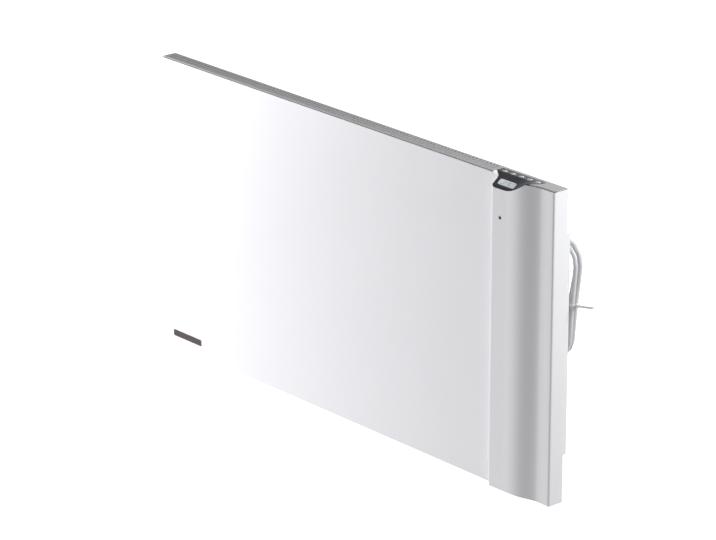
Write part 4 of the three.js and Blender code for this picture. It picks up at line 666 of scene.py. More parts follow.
def hank_point(turn):
    """A point of the hank: turn 0 is the middle of the left run, going down."""
    u = turn - math.floor(turn)
    radius = HANK_INNER + HANK_PITCH * abs(turn - HANK_TURNS / 2)
    half = HANK_RUN / 2
    x, z = -radius, -half * u * 8
    if 1 / 8 < u <= 3 / 8:
        angle = math.pi * (u - 1 / 8) * 4
        x, z = -radius * math.cos(angle), -half - radius * math.sin(angle)
    elif 3 / 8 < u <= 5 / 8:
        x, z = radius, half * (u - 1 / 2) * 8
    elif 5 / 8 < u <= 7 / 8:
        angle = math.pi * (u - 5 / 8) * 4
        x, z = radius * math.cos(angle), half + radius * math.sin(angle)
    elif u > 7 / 8:
        z = half * (1 - u) * 8
    if abs(z) < half:
        draw = WAIST_LEFT if x < 0 else WAIST_RIGHT
        x += draw * (1 + math.cos(math.pi * z / half)) / 2
    y = lerp(LAYER_FRONT, LAYER_BACK, smooth(turn, HANK_TURNS / 2 - 1 / 8, HANK_TURNS / 2 + 1 / 8))
    return lean_point(x, y, z)


def catmull(points, steps):
    """Centripetal Catmull-Rom curve through points, the ends mirrored."""
    p = [points[0] * 2 - points[1], *points, points[-1] * 2 - points[-2]]
    made = []
    for i in range(1, len(p) - 2):
        a, b, c, d = p[i - 1:i + 3]
        gaps = [max(math.sqrt((q - r).length), 1e-6) for q, r in ((b, a), (c, b), (d, c))]
        t0 = (b - a) / gaps[0] - (c - a) / (gaps[0] + gaps[1]) + (c - b) / gaps[1]
        t1 = (c - b) / gaps[1] - (d - b) / (gaps[1] + gaps[2]) + (d - c) / gaps[2]
        t0, t1 = t0 * gaps[1], t1 * gaps[1]
        for s in range(steps):
            t = s / steps
            made.append(b * (2 * t**3 - 3 * t**2 + 1) + t0 * (t**3 - 2 * t**2 + t)
                        + c * (-2 * t**3 + 3 * t**2) + t1 * (t**3 - t**2))
    made.append(points[-1])
    return made


def tube_rings(route, radius, sides):
    """Rings square to a route, carried along it without twist."""
    normal = Vector((0, 1, 0))
    rings = []
    for i, point in enumerate(route):
        along = (route[min(i + 1, len(route) - 1)] - route[max(i - 1, 0)]).normalized()
        normal = (normal - along * normal.dot(along)).normalized()
        side = along.cross(normal)
        rings.append([tuple(point + normal * u + side * v) for u, v in ring(radius, radius, sides)])
    return rings


def cord_route():
    """The whole cord from the bend protector to the plug's sleeve, in millimetres."""
    first, last = -1 / 8, HANK_TURNS + 1 / 8
    steps = round((last - first) * 24)
    hank = [hank_point(lerp(first, last, i / steps)) for i in range(steps + 1)]
    up = (lean_point(0, 0, 1) - lean_point(0, 0, 0)).normalized()
    hank = [hank[0] + up * 7, *hank, hank[-1] - up * 7]
    start, end = hank[0], hank[-1]
    px, py = PLUG_CENTRE
    lead = [
        Vector((OUTLET_X, CORD_Y, CORD_EXIT_Z)),
        Vector((OUTLET_X, CORD_Y, CORD_EXIT_Z - 7)),
        Vector((start.x + 1.2, (CORD_Y + start.y) / 2, start.z + 12)),
        Vector((start.x + 0.4, start.y, start.z + 5)),
    ]
    tail = [
        Vector((end.x - 0.8, end.y, end.z - 9)),
        Vector((px + 0.6, -8, SLEEVE_TOP + 110)),
        Vector((px - 2.4, -10.5, SLEEVE_TOP + 64)),
        Vector((px - 1.2, py, SLEEVE_TOP + 26)),
        Vector((px, py, SLEEVE_TOP + 8)),
        Vector((px, py, SLEEVE_TOP)),
    ]
    return [*catmull([*lead, start], 4), *hank[1:-1], *catmull([end, *tail], 3)]


class HEATER_OT_wind_cord(bpy.types.Operator):
    """Lays the mains cord along its route, in its hank behind the heater"""

    bl_idname = "heater.wind_cord"
    bl_label = "Wind the mains cord"

    def execute(self, context):
        route = cord_route()
        radius = sizes().cord_diameter / 2 / MM
        cord = loft("mains_cord", tube_rings(route, radius, 20))
        shade(cord, 60)
        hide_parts("cord_lead", "cord_hank", "cord_tail")
        paint(cord, "cord_grey")
        return {"FINISHED"}


class HEATER_OT_mould_plug(bpy.types.Operator):
    """Moulds the two-pole plug with its ribbed sleeve, and polishes its pins"""

    bl_idname = "heater.mould_plug"
    bl_label = "Mould the plug"

    def execute(self, context):
        px, py = PLUG_CENTRE
        top = -183.0
        profile = [(-38, 0.90, 3.6), (-37.4, 0.955, 3.6), (-36.2, 0.99, 3.4), (-34, 1.0, 3.2), (-22, 1.0, 3.2),
                   (-17, 0.985, 3.1), (-13.5, 0.92, 3.0), (-11, 0.87, 3.0), (-5, 0.80, 2.8), (-2, 0.76, 2.6),
                   (0, 0.66, 2.4)]
        sections = [[(px + u, py + v, top + z) for u, v in ring(17.5 * grow, 11 * grow, 56, power)]
                    for z, grow, power in profile]
        body = loft("moulded_plug", sections)
        sleeve = []
        for i in range(27):
            share = i / 26
            radius = lerp(4.9, 4.15, share) - (0.55 if i % 4 in (2, 3) and 2 < i < 24 else 0.0)
            sleeve.append([(px + u, py + v, top - 1 + share * 27) for u, v in ring(radius, radius, 32)])
        strain = loft("plug_sleeve", sleeve)
        shade(strain, 50)
        grip = []
        for side in (-1, 1):
            for i in range(5):
                z = top - 17 - 3.4 * i
                y = py + side * 10.85
                rib = loft(f"plug_grip_{'a' if side < 0 else 'b'}{i}", [
                    [(px + u, y + side * 0.45 * h, z + v) for u, v in ring(8.6 - i * 0.15 - h * 0.3, 0.75 - h * 0.3, 24, 3)]
                    for h in (0.0, 0.7, 1.0)])
                shade(rib, 60)
                grip.append(rib)
        add_bevel(body, 0.5, 2, 40)
        shade(body, 40)
        for piece in (body, strain, *grip):
            paint(piece, "cord_grey")
            if piece is not body:
                piece.parent = body
                piece.matrix_parent_inverse = Matrix.Identity(4)
        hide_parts("mains_plug")
        for name in ("plug_pin_left", "plug_pin_right"):
            dress_node(name, "pin_metal", 0.15)
        return {"FINISHED"}


class HEATER_OT_fasten_tie(bpy.types.Operator):
    """Closes the cable tie round the waist of the hank"""

    bl_idname = "heater.fasten_tie"
    bl_label = "Fasten the cable tie"

    def execute(self, context):
        right = HANK_INNER + HANK_PITCH + WAIST_RIGHT + 3.5
        left = HANK_INNER + HANK_PITCH * 1.5 - WAIST_LEFT + 3.5
        tall = 7.25 + 0.35
        clear, thick, width, corner = 0.35, 1.1, 3.6, 3.5
        centre = Vector((HANK_CENTRE[0], CORD_Y, HANK_CENTRE[1]))

        def outline(grow):
            points = []
            corners = [(right + clear, tall, 0), (-left - clear, tall, 90), (-left - clear, -tall, 180),
                       (right + clear, -tall, 270)]
            for x, y, start in corners:
                cx = x - math.copysign(corner, x)
                cy = y - math.copysign(corner, y)
                for i in range(9):
                    angle = math.radians(start + 90 * i / 8)
                    points.append((cx + (corner + grow) * math.cos(angle), cy + (corner + grow) * math.sin(angle)))
            return points

        def placed(u, v, z):
            c, s = math.cos(HANK_LEAN), math.sin(HANK_LEAN)
            return (centre.x + u * c + z * s, centre.y + v, centre.z - u * s + z * c)

        half = width / 2
        inner, outer = outline(0.0), outline(thick)
        mid = [tuple((a + b) / 2 for a, b in zip(p, q)) for p, q in zip(inner, outer)]
        profile = [(inner, -half + 0.25), (inner, half - 0.25), (mid, half), (outer, half - 0.25),
                   (outer, -half + 0.25), (mid, -half)]
        count = len(inner)
        points = [placed(*path[i], z) for i in range(count) for path, z in profile]
        size = len(profile)
        faces = []
        for i in range(count):
            for k in range(size):
                a, b = i * size, ((i + 1) % count) * size
                m = (k + 1) % size
                faces.append([a + k, a + m, b + m, b + k])
        strap = mesh_piece("cable_tie_strap", points, faces)
        head_x = right + clear + thick - 0.2
        head = loft("cable_tie_head", [
            [placed(head_x + (u + 1) * 2.6, v * 2.6, z) for u, v in ring(grow, grow, 32, 6)]
            for z, grow in ((-2.6, 0.86), (-2.4, 0.96), (-2.0, 1.0), (2.0, 1.0), (2.4, 0.96), (2.6, 0.86))])
        tail_x = head_x + 5.0
        tilt = math.radians(10)
        line = catmull([Vector((0, -0.1, 0)), Vector((8.4, 1.2, 0)), Vector((16.8, 4.3, 0)),
                        Vector((23.6, 8.0, 0))], 6)
        sections = []
        for i, point in enumerate(line):
            after = line[min(i + 1, len(line) - 1)] - line[max(i - 1, 0)]
            across = Vector((-after.y, after.x, 0)).normalized() * 0.5
            wide = (half - 0.1) * (1.0 - 0.55 * smooth(i, len(line) - 5, len(line) - 1))
            section = []
            for s, z in ((-1, -wide + 0.15), (-0.7, -wide), (0.7, -wide), (1, -wide + 0.15),
                         (1, wide - 0.15), (0.7, wide), (-0.7, wide), (-1, wide - 0.15)):
                x = point.x + across.x * s
                section.append(placed(tail_x + x * math.cos(tilt) - z * math.sin(tilt), point.y + across.y * s,
                                      x * math.sin(tilt) + z * math.cos(tilt)))
            sections.append(section)
        tail = loft("cable_tie_tail", sections)
        for piece in (strap, head, tail):
            shade(piece, 45)
            paint(piece, "tie_nylon")
        for piece in (head, tail):
            piece.parent = strap
            piece.matrix_parent_inverse = Matrix.Identity(4)
        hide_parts("cable_tie")
        return {"FINISHED"}


class HEATER_OT_fit_outlet(bpy.types.Operator):
    """Finishes the cable outlet and moulds the ribbed bend protector"""

    bl_idname = "heater.fit_outlet"
    bl_label = "Fit the cable outlet"

    def execute(self, context):
        dress_node("cable_outlet", "cord_grey", 1.0, 3)
        top, low = 182.7, 152.7
        sections = []
        count = 45
        for i in range(count):
            share = i / (count - 1)
            radius = lerp(6.3, 4.7, share)
            wave = 0.5 - 0.5 * math.cos(math.tau * share * 4)
            edge = 0.4 if i in (0, count - 1) else 0.0
            z = lerp(top, low, share)
            sections.append([(OUTLET_X + u, CORD_Y + v, z) for u, v in
                             ring(radius - wave * 0.85 - edge, radius - wave * 0.85 - edge, 36)])
        protector = loft("ribbed_bend_protector", sections)
        shade(protector, 50)
        paint(protector, "cord_grey")
        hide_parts("bend_protector")
        return {"FINISHED"}


# ------------------------------------------------------------------ casing


def panel_columns():
    """Plan stations of the front sheet's outer face: x, y and the top of the column."""
    columns = []
    fold = 3.0
    step_x = RIGHT - STEP_FROM_RIGHT
    columns.append((LEFT, FRAME_BACK, TOP))
    for i in range(9):
        angle = math.radians(180 + 90 * i / 8)
        columns.append((LEFT + fold + fold * math.cos(angle), FRONT + fold + fold * math.sin(angle), TOP))
    for x in spread(LEFT + 20, step_x - 16, 14):
        columns.append((x, FRONT, TOP))
    flare_x = RIGHT - BEZEL_LEFT
    for x in spread(flare_x, step_x, 10):
        share = clamp((x - flare_x) / (step_x - flare_x))
        columns.append((x, FRONT, TOP - slant_drop(0) * share))
    radius = 1.6
    crest = FRONT - STEP_RISE
    for i in range(1, 6):
        share = i / 6
        y = lerp(FRONT, crest + radius, share)
        columns.append((step_x, y, TOP - slant_drop(y - FRONT)))
    for i in range(7):
        angle = math.radians(180 + 90 * i / 6)
        x = step_x + radius + radius * math.cos(angle)
        y = crest + radius + radius * math.sin(angle)
        from_right = RIGHT - x
        columns.append((x, y, TOP - slant_drop(y - FRONT) if from_right > LOBE_LEFT + FIT
                        else TOP - lobe_drop(min(from_right, LOBE_LEFT)) - FIT))
    stations = [LOBE_LEFT - 1.9 - LOBE_CORNER * (1 - math.cos(math.radians(a))) for a in (0, 25, 45, 65, 90)]
    stations += spread(110.0, LOBE_FLAT_TO, 4)
    stations += spread(LOBE_FLAT_TO - 1, LOBE_END, 26)
    for from_right in stations:
        x = RIGHT - from_right
        columns.append((x, FRONT - wave_rise(from_right), TOP - lobe_drop(from_right) - FIT))
    for from_right in spread(LOBE_END - 0.5, TROUGH_FROM_RIGHT, 14):
        columns.append((RIGHT - from_right, FRONT - wave_rise(from_right), TOP))
    columns += [(RIGHT - 18, FRONT, TOP), (RIGHT - 8, FRONT, TOP)]
    for i in range(9):
        angle = math.radians(270 + 90 * i / 8)
        columns.append((RIGHT - fold + fold * math.cos(angle), FRONT + fold + fold * math.sin(angle), TOP))
    columns.append((RIGHT, FRAME_BACK, TOP))
    return [(x, y, min(top, TOP - PANEL_SHY)) for x, y, top in columns]


def inner_line(columns, gauge):
    """The same stations one gauge inside the sheet."""
    inner = []
    for i, (x, y, _) in enumerate(columns):
        x0, y0, _ = columns[max(i - 1, 0)]
        x1, y1, _ = columns[min(i + 1, len(columns) - 1)]
        into = Vector((x - x0, y - y0))
        out = Vector((x1 - x, y1 - y))
        into = into.normalized() if into.length else out.normalized()
        out = out.normalized() if out.length else into
        along = (into + out).normalized()
        share = max(along.dot(into), 0.5)
        inner.append((x - along.y * gauge / share, y + along.x * gauge / share))
    return inner


class HEATER_OT_fold_panel(bpy.types.Operator):
    """Folds the white front sheet with its raised wave and the cut for the bezel"""

    bl_idname = "heater.fold_panel"
    bl_label = "Fold the front panel"

    def execute(self, context):
        columns = panel_columns()
        inner = inner_line(columns, PANEL_GAUGE)
        rows = 6
        points = []
        for row in range(rows + 1):
            share = row / rows
            points += [(x, y, lerp(BOTTOM, top, share)) for x, y, top in columns]
        base = len(points)
        for row in range(rows + 1):
            share = row / rows
            points += [(x, y, lerp(BOTTOM, c[2], share)) for (x, y), c in zip(inner, columns)]
        count = len(columns)
        faces = []
        for row in range(rows):
            for i in range(count - 1):
                a = row * count + i
                faces.append([a, a + 1, a + count + 1, a + count])
                b = base + a
                faces.append([b, b + count, b + count + 1, b + 1])
        top = rows * count
        for i in range(count - 1):
            faces.append([i, base + i, base + i + 1, i + 1])
            faces.append([top + i, top + i + 1, base + top + i + 1, base + top + i])
        for i in (0, count - 1):
            for row in range(rows):
                a, b = row * count + i, (row + 1) * count + i
                faces.append([a, b, base + b, base + a])
        panel = mesh_piece("folded_front_panel", points, faces)
        hole = loft("sensor_hole", [
            [(RIGHT - SENSOR_FROM_RIGHT + u, y, TOP - SENSOR_BELOW_TOP + v) for u, v in ring(2.8, 2.8, 40)]
            for y in (FRONT - 16, FRONT + 2)])
        cut_with(panel, [hole])
        add_bevel(panel, 0.22, 2, 50)
        shade(panel, 36)
        paint(panel, "white_paint")
        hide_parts("front_panel")
        self.white_flare(panel)
        return {"FINISHED"}

    def white_flare(self, panel):
        """White corner that closes the panel back to the bezel's left end."""
        sections = []
        for from_right in spread(BEZEL_LEFT + 0.2, STEP_FROM_RIGHT + 0.1, 14):
            edge = slant_drop(0) * max(0.0, BEZEL_LEFT - from_right) / (BEZEL_LEFT - STEP_FROM_RIGHT)
            inner = bezel_left_edge(from_right) - FIT
            drop = slant_drop(inner) + 0.2
            x = RIGHT - from_right
            line = []
            for share in (0.0, 0.3, 0.6, 0.85, 1.0):
                line.append((x, FRONT + lerp(0.45, inner, share),
                             TOP - lerp(edge + 0.2, drop, share) + 0.25 * math.sin(math.pi * share)))
            under = [(px, py, pz - PANEL_GAUGE) for px, py, pz in reversed(line)]
            sections.append(line + under)
        flare = loft("bezel_flare", sections)
        shade(flare, 40)
        paint(flare, "white_paint")
        flare.parent = panel
        flare.matrix_parent_inverse = Matrix.Identity(4)


class HEATER_OT_dress_casing(bpy.types.Operator):
    """Gives the grilles, covers, rails and small casing parts their finishes"""

    bl_idname = "heater.dress_casing"
    bl_label = "Finish the casing"

    def execute(self, context):
        dress_node("top_grille", "grey_paint", 0.3, 2)
        dress_node("bottom_grille", "white_paint", 0.2, 1)
        dress_node("lower_rear_plate", "white_paint", 0.15, 1)
        dress_node("rear_cover", "white_paint", 0.2, 2)
        dress_node("name_plate", "plate_metal", 0.15, 2)
        for side in ("left", "right"):
            dress_node(f"side_rail_{side}", "galvanised", 0.3, 2)
            dress_node(f"wall_spacer_{side}", "black_rubber", 0.5, 3, 25)
        for i in range(1, 5):
            dress_node(f"cover_screw_{i}", "steel", 0.2, 2)
        return {"FINISHED"}


# ------------------------------------------------------------------ controls


def bezel_station(from_right):
    front = -wave_rise(from_right)
    edge = min(slant_drop(front), lobe_drop(from_right))
    skirt = max(lobe_drop(from_right), edge + 0.15)
    if from_right > LOBE_LEFT:
        front = bezel_left_edge(from_right)
        edge = slant_drop(front)
        skirt = edge + 2.0
    elif from_right < LOBE_END:
        front = bezel_right_edge(from_right)
        edge = 0.0
        skirt = min(2.0, 0.15 + LOBE_END - 0.3 - from_right)
    return front, max(BAND_FRONT, front + 0.5), edge, skirt


class HEATER_OT_mould_bezel(bpy.types.Operator):
    """Moulds the dark glossy bezel with its button holes and display opening"""

    bl_idname = "heater.mould_bezel"
    bl_label = "Mould the control bezel"

    def execute(self, context):
        stations = spread(BEZEL_LEFT, LOBE_LEFT + 0.05, 12)
        stations += [LOBE_LEFT - LOBE_CORNER + LOBE_CORNER * math.cos(math.radians(a))
                     for a in (0, 12, 25, 38, 50, 62, 75, 90)]
        stations += spread(LOBE_LEFT - LOBE_CORNER - 3, LOBE_FLAT_TO, 5)
        stations += spread(LOBE_FLAT_TO - 1, LOBE_END, 28)
        stations += spread(LOBE_END - 0.3, BEZEL_RIGHT, 8)
        outer, inner = [], []
        for from_right in stations:
            front, bend, edge, skirt = bezel_station(from_right)
            x = RIGHT - from_right
            outer.append([
                (x, FRONT + BEZEL_BACK, TOP), (x, FRONT + bend + 3, TOP), (x, FRONT + bend, TOP),
                (x, FRONT + lerp(bend, front, 0.5), TOP - edge / 2), (x, FRONT + front, TOP - edge),
                (x, FRONT + front, TOP - skirt), (x, FRONT + front + PANEL_GAUGE + 2 * FIT, TOP - skirt),
                (x, FRONT + BEZEL_BACK, TOP - 6)])
        bezel = loft("gloss_control_bezel", outer)
        hollow_stations = spread(BEZEL_LEFT - 2, LOBE_LEFT + 0.05, 4) + [LOBE_LEFT - 2]
        hollow_stations += spread(LOBE_FLAT_TO, LOBE_END, 12) + spread(LOBE_END - 0.3, BEZEL_RIGHT + 2, 3)
        for from_right in hollow_stations:
            front, bend, edge, _ = bezel_station(from_right)
            x = RIGHT - from_right
            near = front + 2
            drop = edge * max(0.0, (bend - near) / (bend - front)) + 2.4
            low = TOP - LOBE_DROP - 4
            inner.append([
                (x, FRONT + BEZEL_BACK - 2, TOP - 2), (x, FRONT + max(bend - 0.5, near + 0.3), TOP - 2),
                (x, FRONT + near, TOP - drop), (x, FRONT + near, low), (x, FRONT + BEZEL_BACK - 2, low)])
        tools = [loft("bezel_hollow", inner)]
        for i in range(5):
            x = RIGHT - BUTTON_FIRST + BUTTON_PITCH * i
            tools.append(loft(f"button_hole_{i}", [
                [(x + u, FRONT + BUTTON_BEHIND + v, z) for u, v in
                 ring(BUTTON_LENGTH / 2 + 0.2, BUTTON_BREADTH / 2 + 0.2, 56)] for z in (TOP - 6, TOP + 2)]))
        cut_with(bezel, tools)
        cut_with(bezel, [self.window_tool()])
        add_bevel(bezel, 0.35, 3, 28)
        shade(bezel, 30)
        paint(bezel, "black_gloss")
        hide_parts("control_bezel")
        return {"FINISHED"}

    def window_tool(self):
        """A block through the slanted face with rounded corners, for the display."""
        middle, half = 93.5, 17.5
        centre, reach = 16.0, 5.5
        sections = []
        for depth in (-2.0, 5.0):
            sections.append([slant_point(middle - u, centre + v, depth) for u, v in ring(half, reach, 64, 7)])
        return loft("window_tool", sections)


class HEATER_OT_set_buttons(bpy.types.Operator):
    """Sets five crowned oval buttons in the bezel, each on its own body"""

    bl_idname = "heater.set_buttons"
    bl_label = "Set the buttons"

    def execute(self, context):
        crown = sizes().button_crown / MM
        rim_x, rim_y = BUTTON_LENGTH / 2, BUTTON_BREADTH / 2
        under = TOP - 2.3
        for i in range(5):
            x = RIGHT - BUTTON_FIRST + BUTTON_PITCH * i
            y = FRONT + BUTTON_BEHIND
            sections = []
            for z, inset in ((under - 3.4, 3.3), (under - 1.0, 3.3), (under - 1.0, -0.7), (under, -0.7),
                             (under, 0.0), (TOP + BUTTON_PROUD - crown - 0.35, 0.0)):
                sections.append(self.outline(x, y, z, rim_x - inset, rim_y - min(inset, rim_y - 1.9)))
            for step in range(1, 7):
                angle = math.radians(15 * step)
                sections.append(self.outline(x, y, TOP + BUTTON_PROUD - crown - 0.35 + 0.35 * math.sin(angle),
                                             rim_x - 0.35 * (1 - math.cos(angle)),
                                             rim_y - 0.35 * (1 - math.cos(angle))))
            for share in (0.85, 0.65, 0.4, 0.18):
                sections.append(self.outline(x, y, TOP + BUTTON_PROUD - crown * share ** 2,
                                             (rim_x - 0.35) * share, (rim_y - 0.35) * share))
            button = loft(f"oval_button_{i + 1}", sections, f"key_{i + 1}")
            shade(button, 40)
            paint(button, "silver_plastic")
            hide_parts(f"button_{i + 1}")
        return {"FINISHED"}

    def outline(self, x, y, z, a, b):
        return [(x + u, y + v, z) for u, v in ring(max(a, 0.2), max(b, 0.2), 48)]


class HEATER_OT_glaze_display(bpy.types.Operator):
    """Fits the display lens and lays its segments under the surface"""

    bl_idname = "heater.glaze_display"
    bl_label = "Glaze the display"

    def execute(self, context):
        middle, centre = 93.5, 16.0
        sections = []
        for depth, inset in ((1.4, 0.3), (0.45, 0.3), (0.28, 0.42), (0.2, 0.65)):
            sections.append([slant_point(middle - u, centre + v, depth)
                             for u, v in ring(17.5 - inset, 5.5 - inset, 64, 7)])
        lens = loft("display_lens", sections[::-1])
        shade(lens, 40)
        paint(lens, "display_lens")
        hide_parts("display_window")
        self.segments(lens, middle, centre)
        return {"FINISHED"}

    def segments(self, lens, middle, centre):
        """Plain numerals and bars, a thin film on the lens."""
        digits = {"2": "abged", "1": "bc", "0": "abcdef", "5": "afgcd"}
        lines = {
            "a": ((0, 0), (1, 0)), "b": ((1, 0), (1, 1)), "c": ((1, 1), (1, 2)), "d": ((0, 2), (1, 2)),
            "e": ((0, 1), (0, 2)), "f": ((0, 0), (0, 1)), "g": ((0, 1), (1, 1)),
        }
        points, faces = [], []

        def bar(u0, v0, u1, v1):
            start = len(points)
            for u, v in ((u0, v0), (u1, v0), (u1, v1), (u0, v1)):
                points.append(slant_point(middle - u, centre + v, 0.185))
            for u, v in ((u0, v0), (u1, v0), (u1, v1), (u0, v1)):
                points.append(slant_point(middle - u, centre + v, 0.3))
            for face in ((0, 1, 2, 3), (7, 6, 5, 4), (0, 4, 5, 1), (1, 5, 6, 2), (2, 6, 7, 3), (3, 7, 4, 0)):
                faces.append([start + k for k in face])

        width, tall, thick = 2.6, 2.4, 0.5
        for i, digit in enumerate("210"):
            u0 = -6.0 + i * 4.2 + (0.8 if i == 2 else 0.0)
            for key in digits[digit]:
                (a, b), (c, d) = lines[key]
                bar(u0 + a * width - thick / 2, -2.6 + b * tall - thick / 2,
                    u0 + c * width + thick / 2, -2.6 + d * tall + thick / 2)
        bar(2.2 - 0.3, 1.9, 2.2 + 0.3, 2.5)
        for i in range(6):
            bar(-13.5 + i * 0.95, 3.1 - 0.45 * i * 0.5, -13.5 + i * 0.95 + 0.6, 3.5)
        for i in range(3):
            bar(10.2 + i * 1.9, -3.0, 11.4 + i * 1.9, -2.4)
        film = mesh_piece("display_segments", points, faces)
        film.data.materials.clear()
        film.data.materials.append(moulded("display_ink", (0.16, 0.20, 0.27, 1), 0.2, 900.0, 0.02, 0.4))
        film.parent = lens
        film.matrix_parent_inverse = Matrix.Identity(4)


class HEATER_OT_seat_sensor(bpy.types.Operator):
    """Seats the small dark lens of the presence sensor in the wave"""

    bl_idname = "heater.seat_sensor"
    bl_label = "Seat the sensor"

    def execute(self, context):
        x, z = RIGHT - SENSOR_FROM_RIGHT, TOP - SENSOR_BELOW_TOP
        face = FRONT - wave_rise(SENSOR_FROM_RIGHT) + PANEL_GAUGE + FIT + 0.1
        front = face - PANEL_GAUGE - FIT
        profile = [(face + 1, 4.5), (face, 4.5), (face, 2.5), (front, 2.5), (front - 0.3, 2.2), (front - 0.6, 1.5),
                   (front - 0.8, 0.8), (front - 0.85, 0.25)]
        lens = loft("sensor_lens", [[(x + u, y, z + v) for u, v in ring(r, r, 40)] for y, r in profile])
        shade(lens, 50)
        paint(lens, "sensor_lens")
        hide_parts("sensor_window")
        return {"FINISHED"}


# ------------------------------------------------------------------ inside and bracket


class HEATER_OT_dress_inside(bpy.types.Operator):
    """Finishes the element, boards, wires and sheets inside the case"""

    bl_idname = "heater.dress_inside"
    bl_label = "Finish the inside"

    def execute(self, context):
        plain = {
            "control_partition": ("galvanised", 0.15), "heat_shield": ("steel", 0.15),
            "element_fins": ("bare_aluminium", 0.3), "element_rod": ("steel", 0.0),
            "element_bracket_left": ("galvanised", 0.2), "element_bracket_right": ("galvanised", 0.2),
            "thermal_cutout": ("dark_plastic", 0.3), "power_board": ("circuit_board", 0.0),
            "board_carrier": ("grey_plastic", 0.3), "relay": ("dark_plastic", 0.4),
            "capacitor": ("plate_metal", 0.8), "transformer": ("dark_plastic", 0.6),
            "heat_sink": ("bare_aluminium", 0.2), "terminal_block": ("grey_plastic", 0.4),
            "ribbon_cable": ("grey_plastic", 0.0), "room_sensor": ("grey_plastic", 0.3),
            "sensor_clip": ("grey_plastic", 0.2), "lcd_module": ("grey_plastic", 0.2),
            "display_board": ("circuit_board", 0.0), "button_board": ("circuit_board", 0.0),
            "key_mat": ("black_rubber", 0.15), "presence_sensor": ("steel", 0.2),
            "live_wire": ("brown_sheath", 0.0), "return_wire": ("brown_sheath", 0.0),
            "neutral_wire": ("blue_sheath", 0.0),
        }
        for name, (finish, width) in plain.items():
            dress_node(name, finish, width)
        return {"FINISHED"}


class HEATER_OT_dress_bracket(bpy.types.Operator):
    """Finishes the galvanised wall bracket"""

    bl_idname = "heater.dress_bracket"
    bl_label = "Finish the bracket"

    def execute(self, context):
        for name in ("bracket_upper_rail", "bracket_lower_rail", "bracket_spine"):
            dress_node(name, "galvanised", 0.3, 2)
        return {"FINISHED"}


# ------------------------------------------------------------------ camera, floor and light

AZIMUTH = math.radians(48.90)
ELEVATION = math.radians(19.88)
TARGET = Vector((0.0254, -0.054, 0.0019))
LENS = 187.46


class HEATER_OT_place_camera(bpy.types.Operator):
    """Places the camera at the photograph's angle"""

    bl_idname = "heater.place_camera"
    bl_label = "Place the camera"

    def execute(self, context):
        back = Vector((math.sin(AZIMUTH) * math.cos(ELEVATION), -math.cos(AZIMUTH) * math.cos(ELEVATION),
                       math.sin(ELEVATION)))
        data = bpy.data.cameras.new("camera")
        data.lens = LENS
        data.sensor_width = 36.0
        data.clip_start = 0.05
        data.clip_end = 200.0
        camera = link("camera", data)
        camera.rotation_mode = "QUATERNION"
        camera.location = TARGET + back * sizes().camera_distance
        camera.rotation_quaternion = (-back).to_track_quat("-Z", "Y")
        context.scene.camera = camera
        return {"FINISHED"}


def area_light(name, place, aim, width, height, power, tint=(1, 1, 1)):
    data = bpy.data.lights.new(name, "AREA")
    data.shape = "RECTANGLE"
    data.size, data.size_y = width, height
    data.energy = power
    data.color = tint
    lamp = link(name, data)
    lamp.location = place
    lamp.rotation_mode = "QUATERNION"
    lamp.rotation_quaternion = (Vector(aim) - Vector(place)).to_track_quat("-Z", "Y")
    return lamp


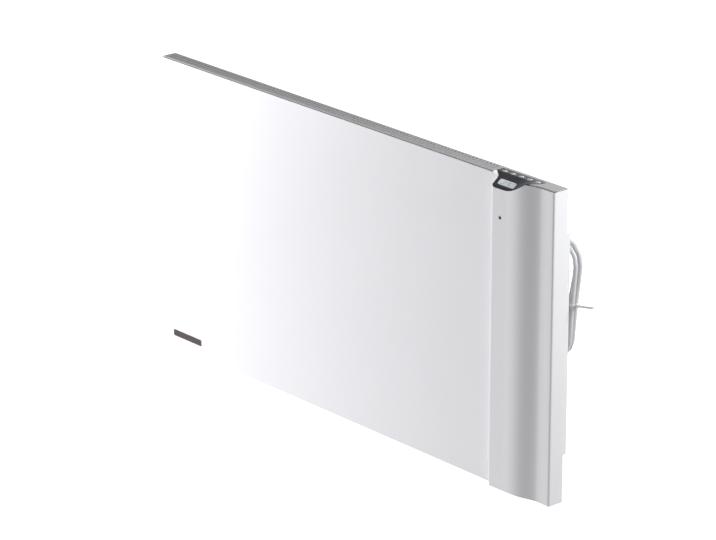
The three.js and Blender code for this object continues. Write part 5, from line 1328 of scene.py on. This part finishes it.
class HEATER_OT_set_stage(bpy.types.Operator):
    """Lays the pale floor and sets the soft studio light"""

    bl_idname = "heater.set_stage"
    bl_label = "Set the stage"

    def execute(self, context):
        drop = -sizes().floor_drop
        reach = 40.0
        mesh = bpy.data.meshes.new("studio_floor")
        mesh.from_pydata([(-reach, -reach, drop), (reach, -reach, drop), (reach, reach, drop),
                          (-reach, reach, drop)], [], [(0, 1, 2, 3)])
        floor = link("studio_floor", mesh)
        made, tree, shader = material("studio_floor_pale")
        shader.inputs["Base Color"].default_value = tuple(colours().floor)
        shader.inputs["Roughness"].default_value = 0.9
        shader.inputs["Specular IOR Level"].default_value = 0.0
        shader.inputs["Emission Color"].default_value = (1, 1, 1, 1)
        seen = tree.nodes.new("ShaderNodeLightPath").outputs["Is Camera Ray"]
        wire(tree, seen, shader.inputs["Emission Strength"])
        floor.data.materials.append(made)
        self.air(context)
        area_light("left_softbox", (-2.0, -0.75, 0.1), (0.0, -0.05, 0.0), 0.5, 0.24, 67.0,
                   (0.985, 0.975, 1.0))
        area_light("right_softbox", (1.3, 0.5, 0.72), (0.447, -0.04, 0.0), 0.5, 0.5, 13.0)
        area_light("top_softbox", (0.0, 0.5, 2.4), (0.0, -0.04, 0.2), 0.8, 0.8, 3.0)
        area_light("rear_softbox", (-1.6, 3.0, 0.5), (0.0, 0.0, 0.0), 1.6, 1.6, 26.0)
        context.scene.view_settings.view_transform = "Standard"
        return {"FINISHED"}

    def air(self, context):
        """White behind everything, and a weaker light from all round."""
        world = bpy.data.worlds.new("studio_air")
        world.use_nodes = True
        tree = world.node_tree
        background = tree.nodes["Background"]
        background.inputs["Color"].default_value = (1, 1, 1, 1)
        seen = tree.nodes.new("ShaderNodeLightPath").outputs["Is Camera Ray"]
        wire(tree, math_node(tree, "MAXIMUM", seen, 0.47), background.inputs["Strength"])
        context.scene.world = world


# ------------------------------------------------------------------ panel and registration


STEPS = (
    HEATER_OT_place_camera,
    HEATER_OT_mould_plug,
    HEATER_OT_fasten_tie,
    HEATER_OT_wind_cord,
    HEATER_OT_fit_outlet,
    HEATER_OT_fold_panel,
    HEATER_OT_dress_casing,
    HEATER_OT_mould_bezel,
    HEATER_OT_set_buttons,
    HEATER_OT_glaze_display,
    HEATER_OT_seat_sensor,
    HEATER_OT_dress_inside,
    HEATER_OT_dress_bracket,
    HEATER_OT_set_stage,
)


class HEATER_PT_sidebar(bpy.types.Panel):
    """Lists the settings and the steps that build the heater"""

    bl_idname = "HEATER_PT_sidebar"
    bl_label = "Wall panel heater"
    bl_space_type = "VIEW_3D"
    bl_region_type = "UI"
    bl_category = "Heater"

    def draw(self, context):
        for group in (context.scene.heater_sizes, context.scene.heater_colours):
            box = self.layout.box()
            for key in group.__annotations__:
                box.prop(group, key)
        for step in STEPS:
            self.layout.operator(step.bl_idname)


CLASSES = (HeaterSizes, HeaterColours, *STEPS, HEATER_PT_sidebar)


def register():
    for item in CLASSES:
        bpy.utils.register_class(item)
    bpy.types.Scene.heater_sizes = bpy.props.PointerProperty(type=HeaterSizes)
    bpy.types.Scene.heater_colours = bpy.props.PointerProperty(type=HeaterColours)


def unregister():
    del bpy.types.Scene.heater_colours
    del bpy.types.Scene.heater_sizes
    for item in reversed(CLASSES):
        bpy.utils.unregister_class(item)


def main():
    register()
    for step in STEPS:
        section, name = step.bl_idname.split(".")
        getattr(getattr(bpy.ops, section), name)()


if __name__ == "__main__":
    main()
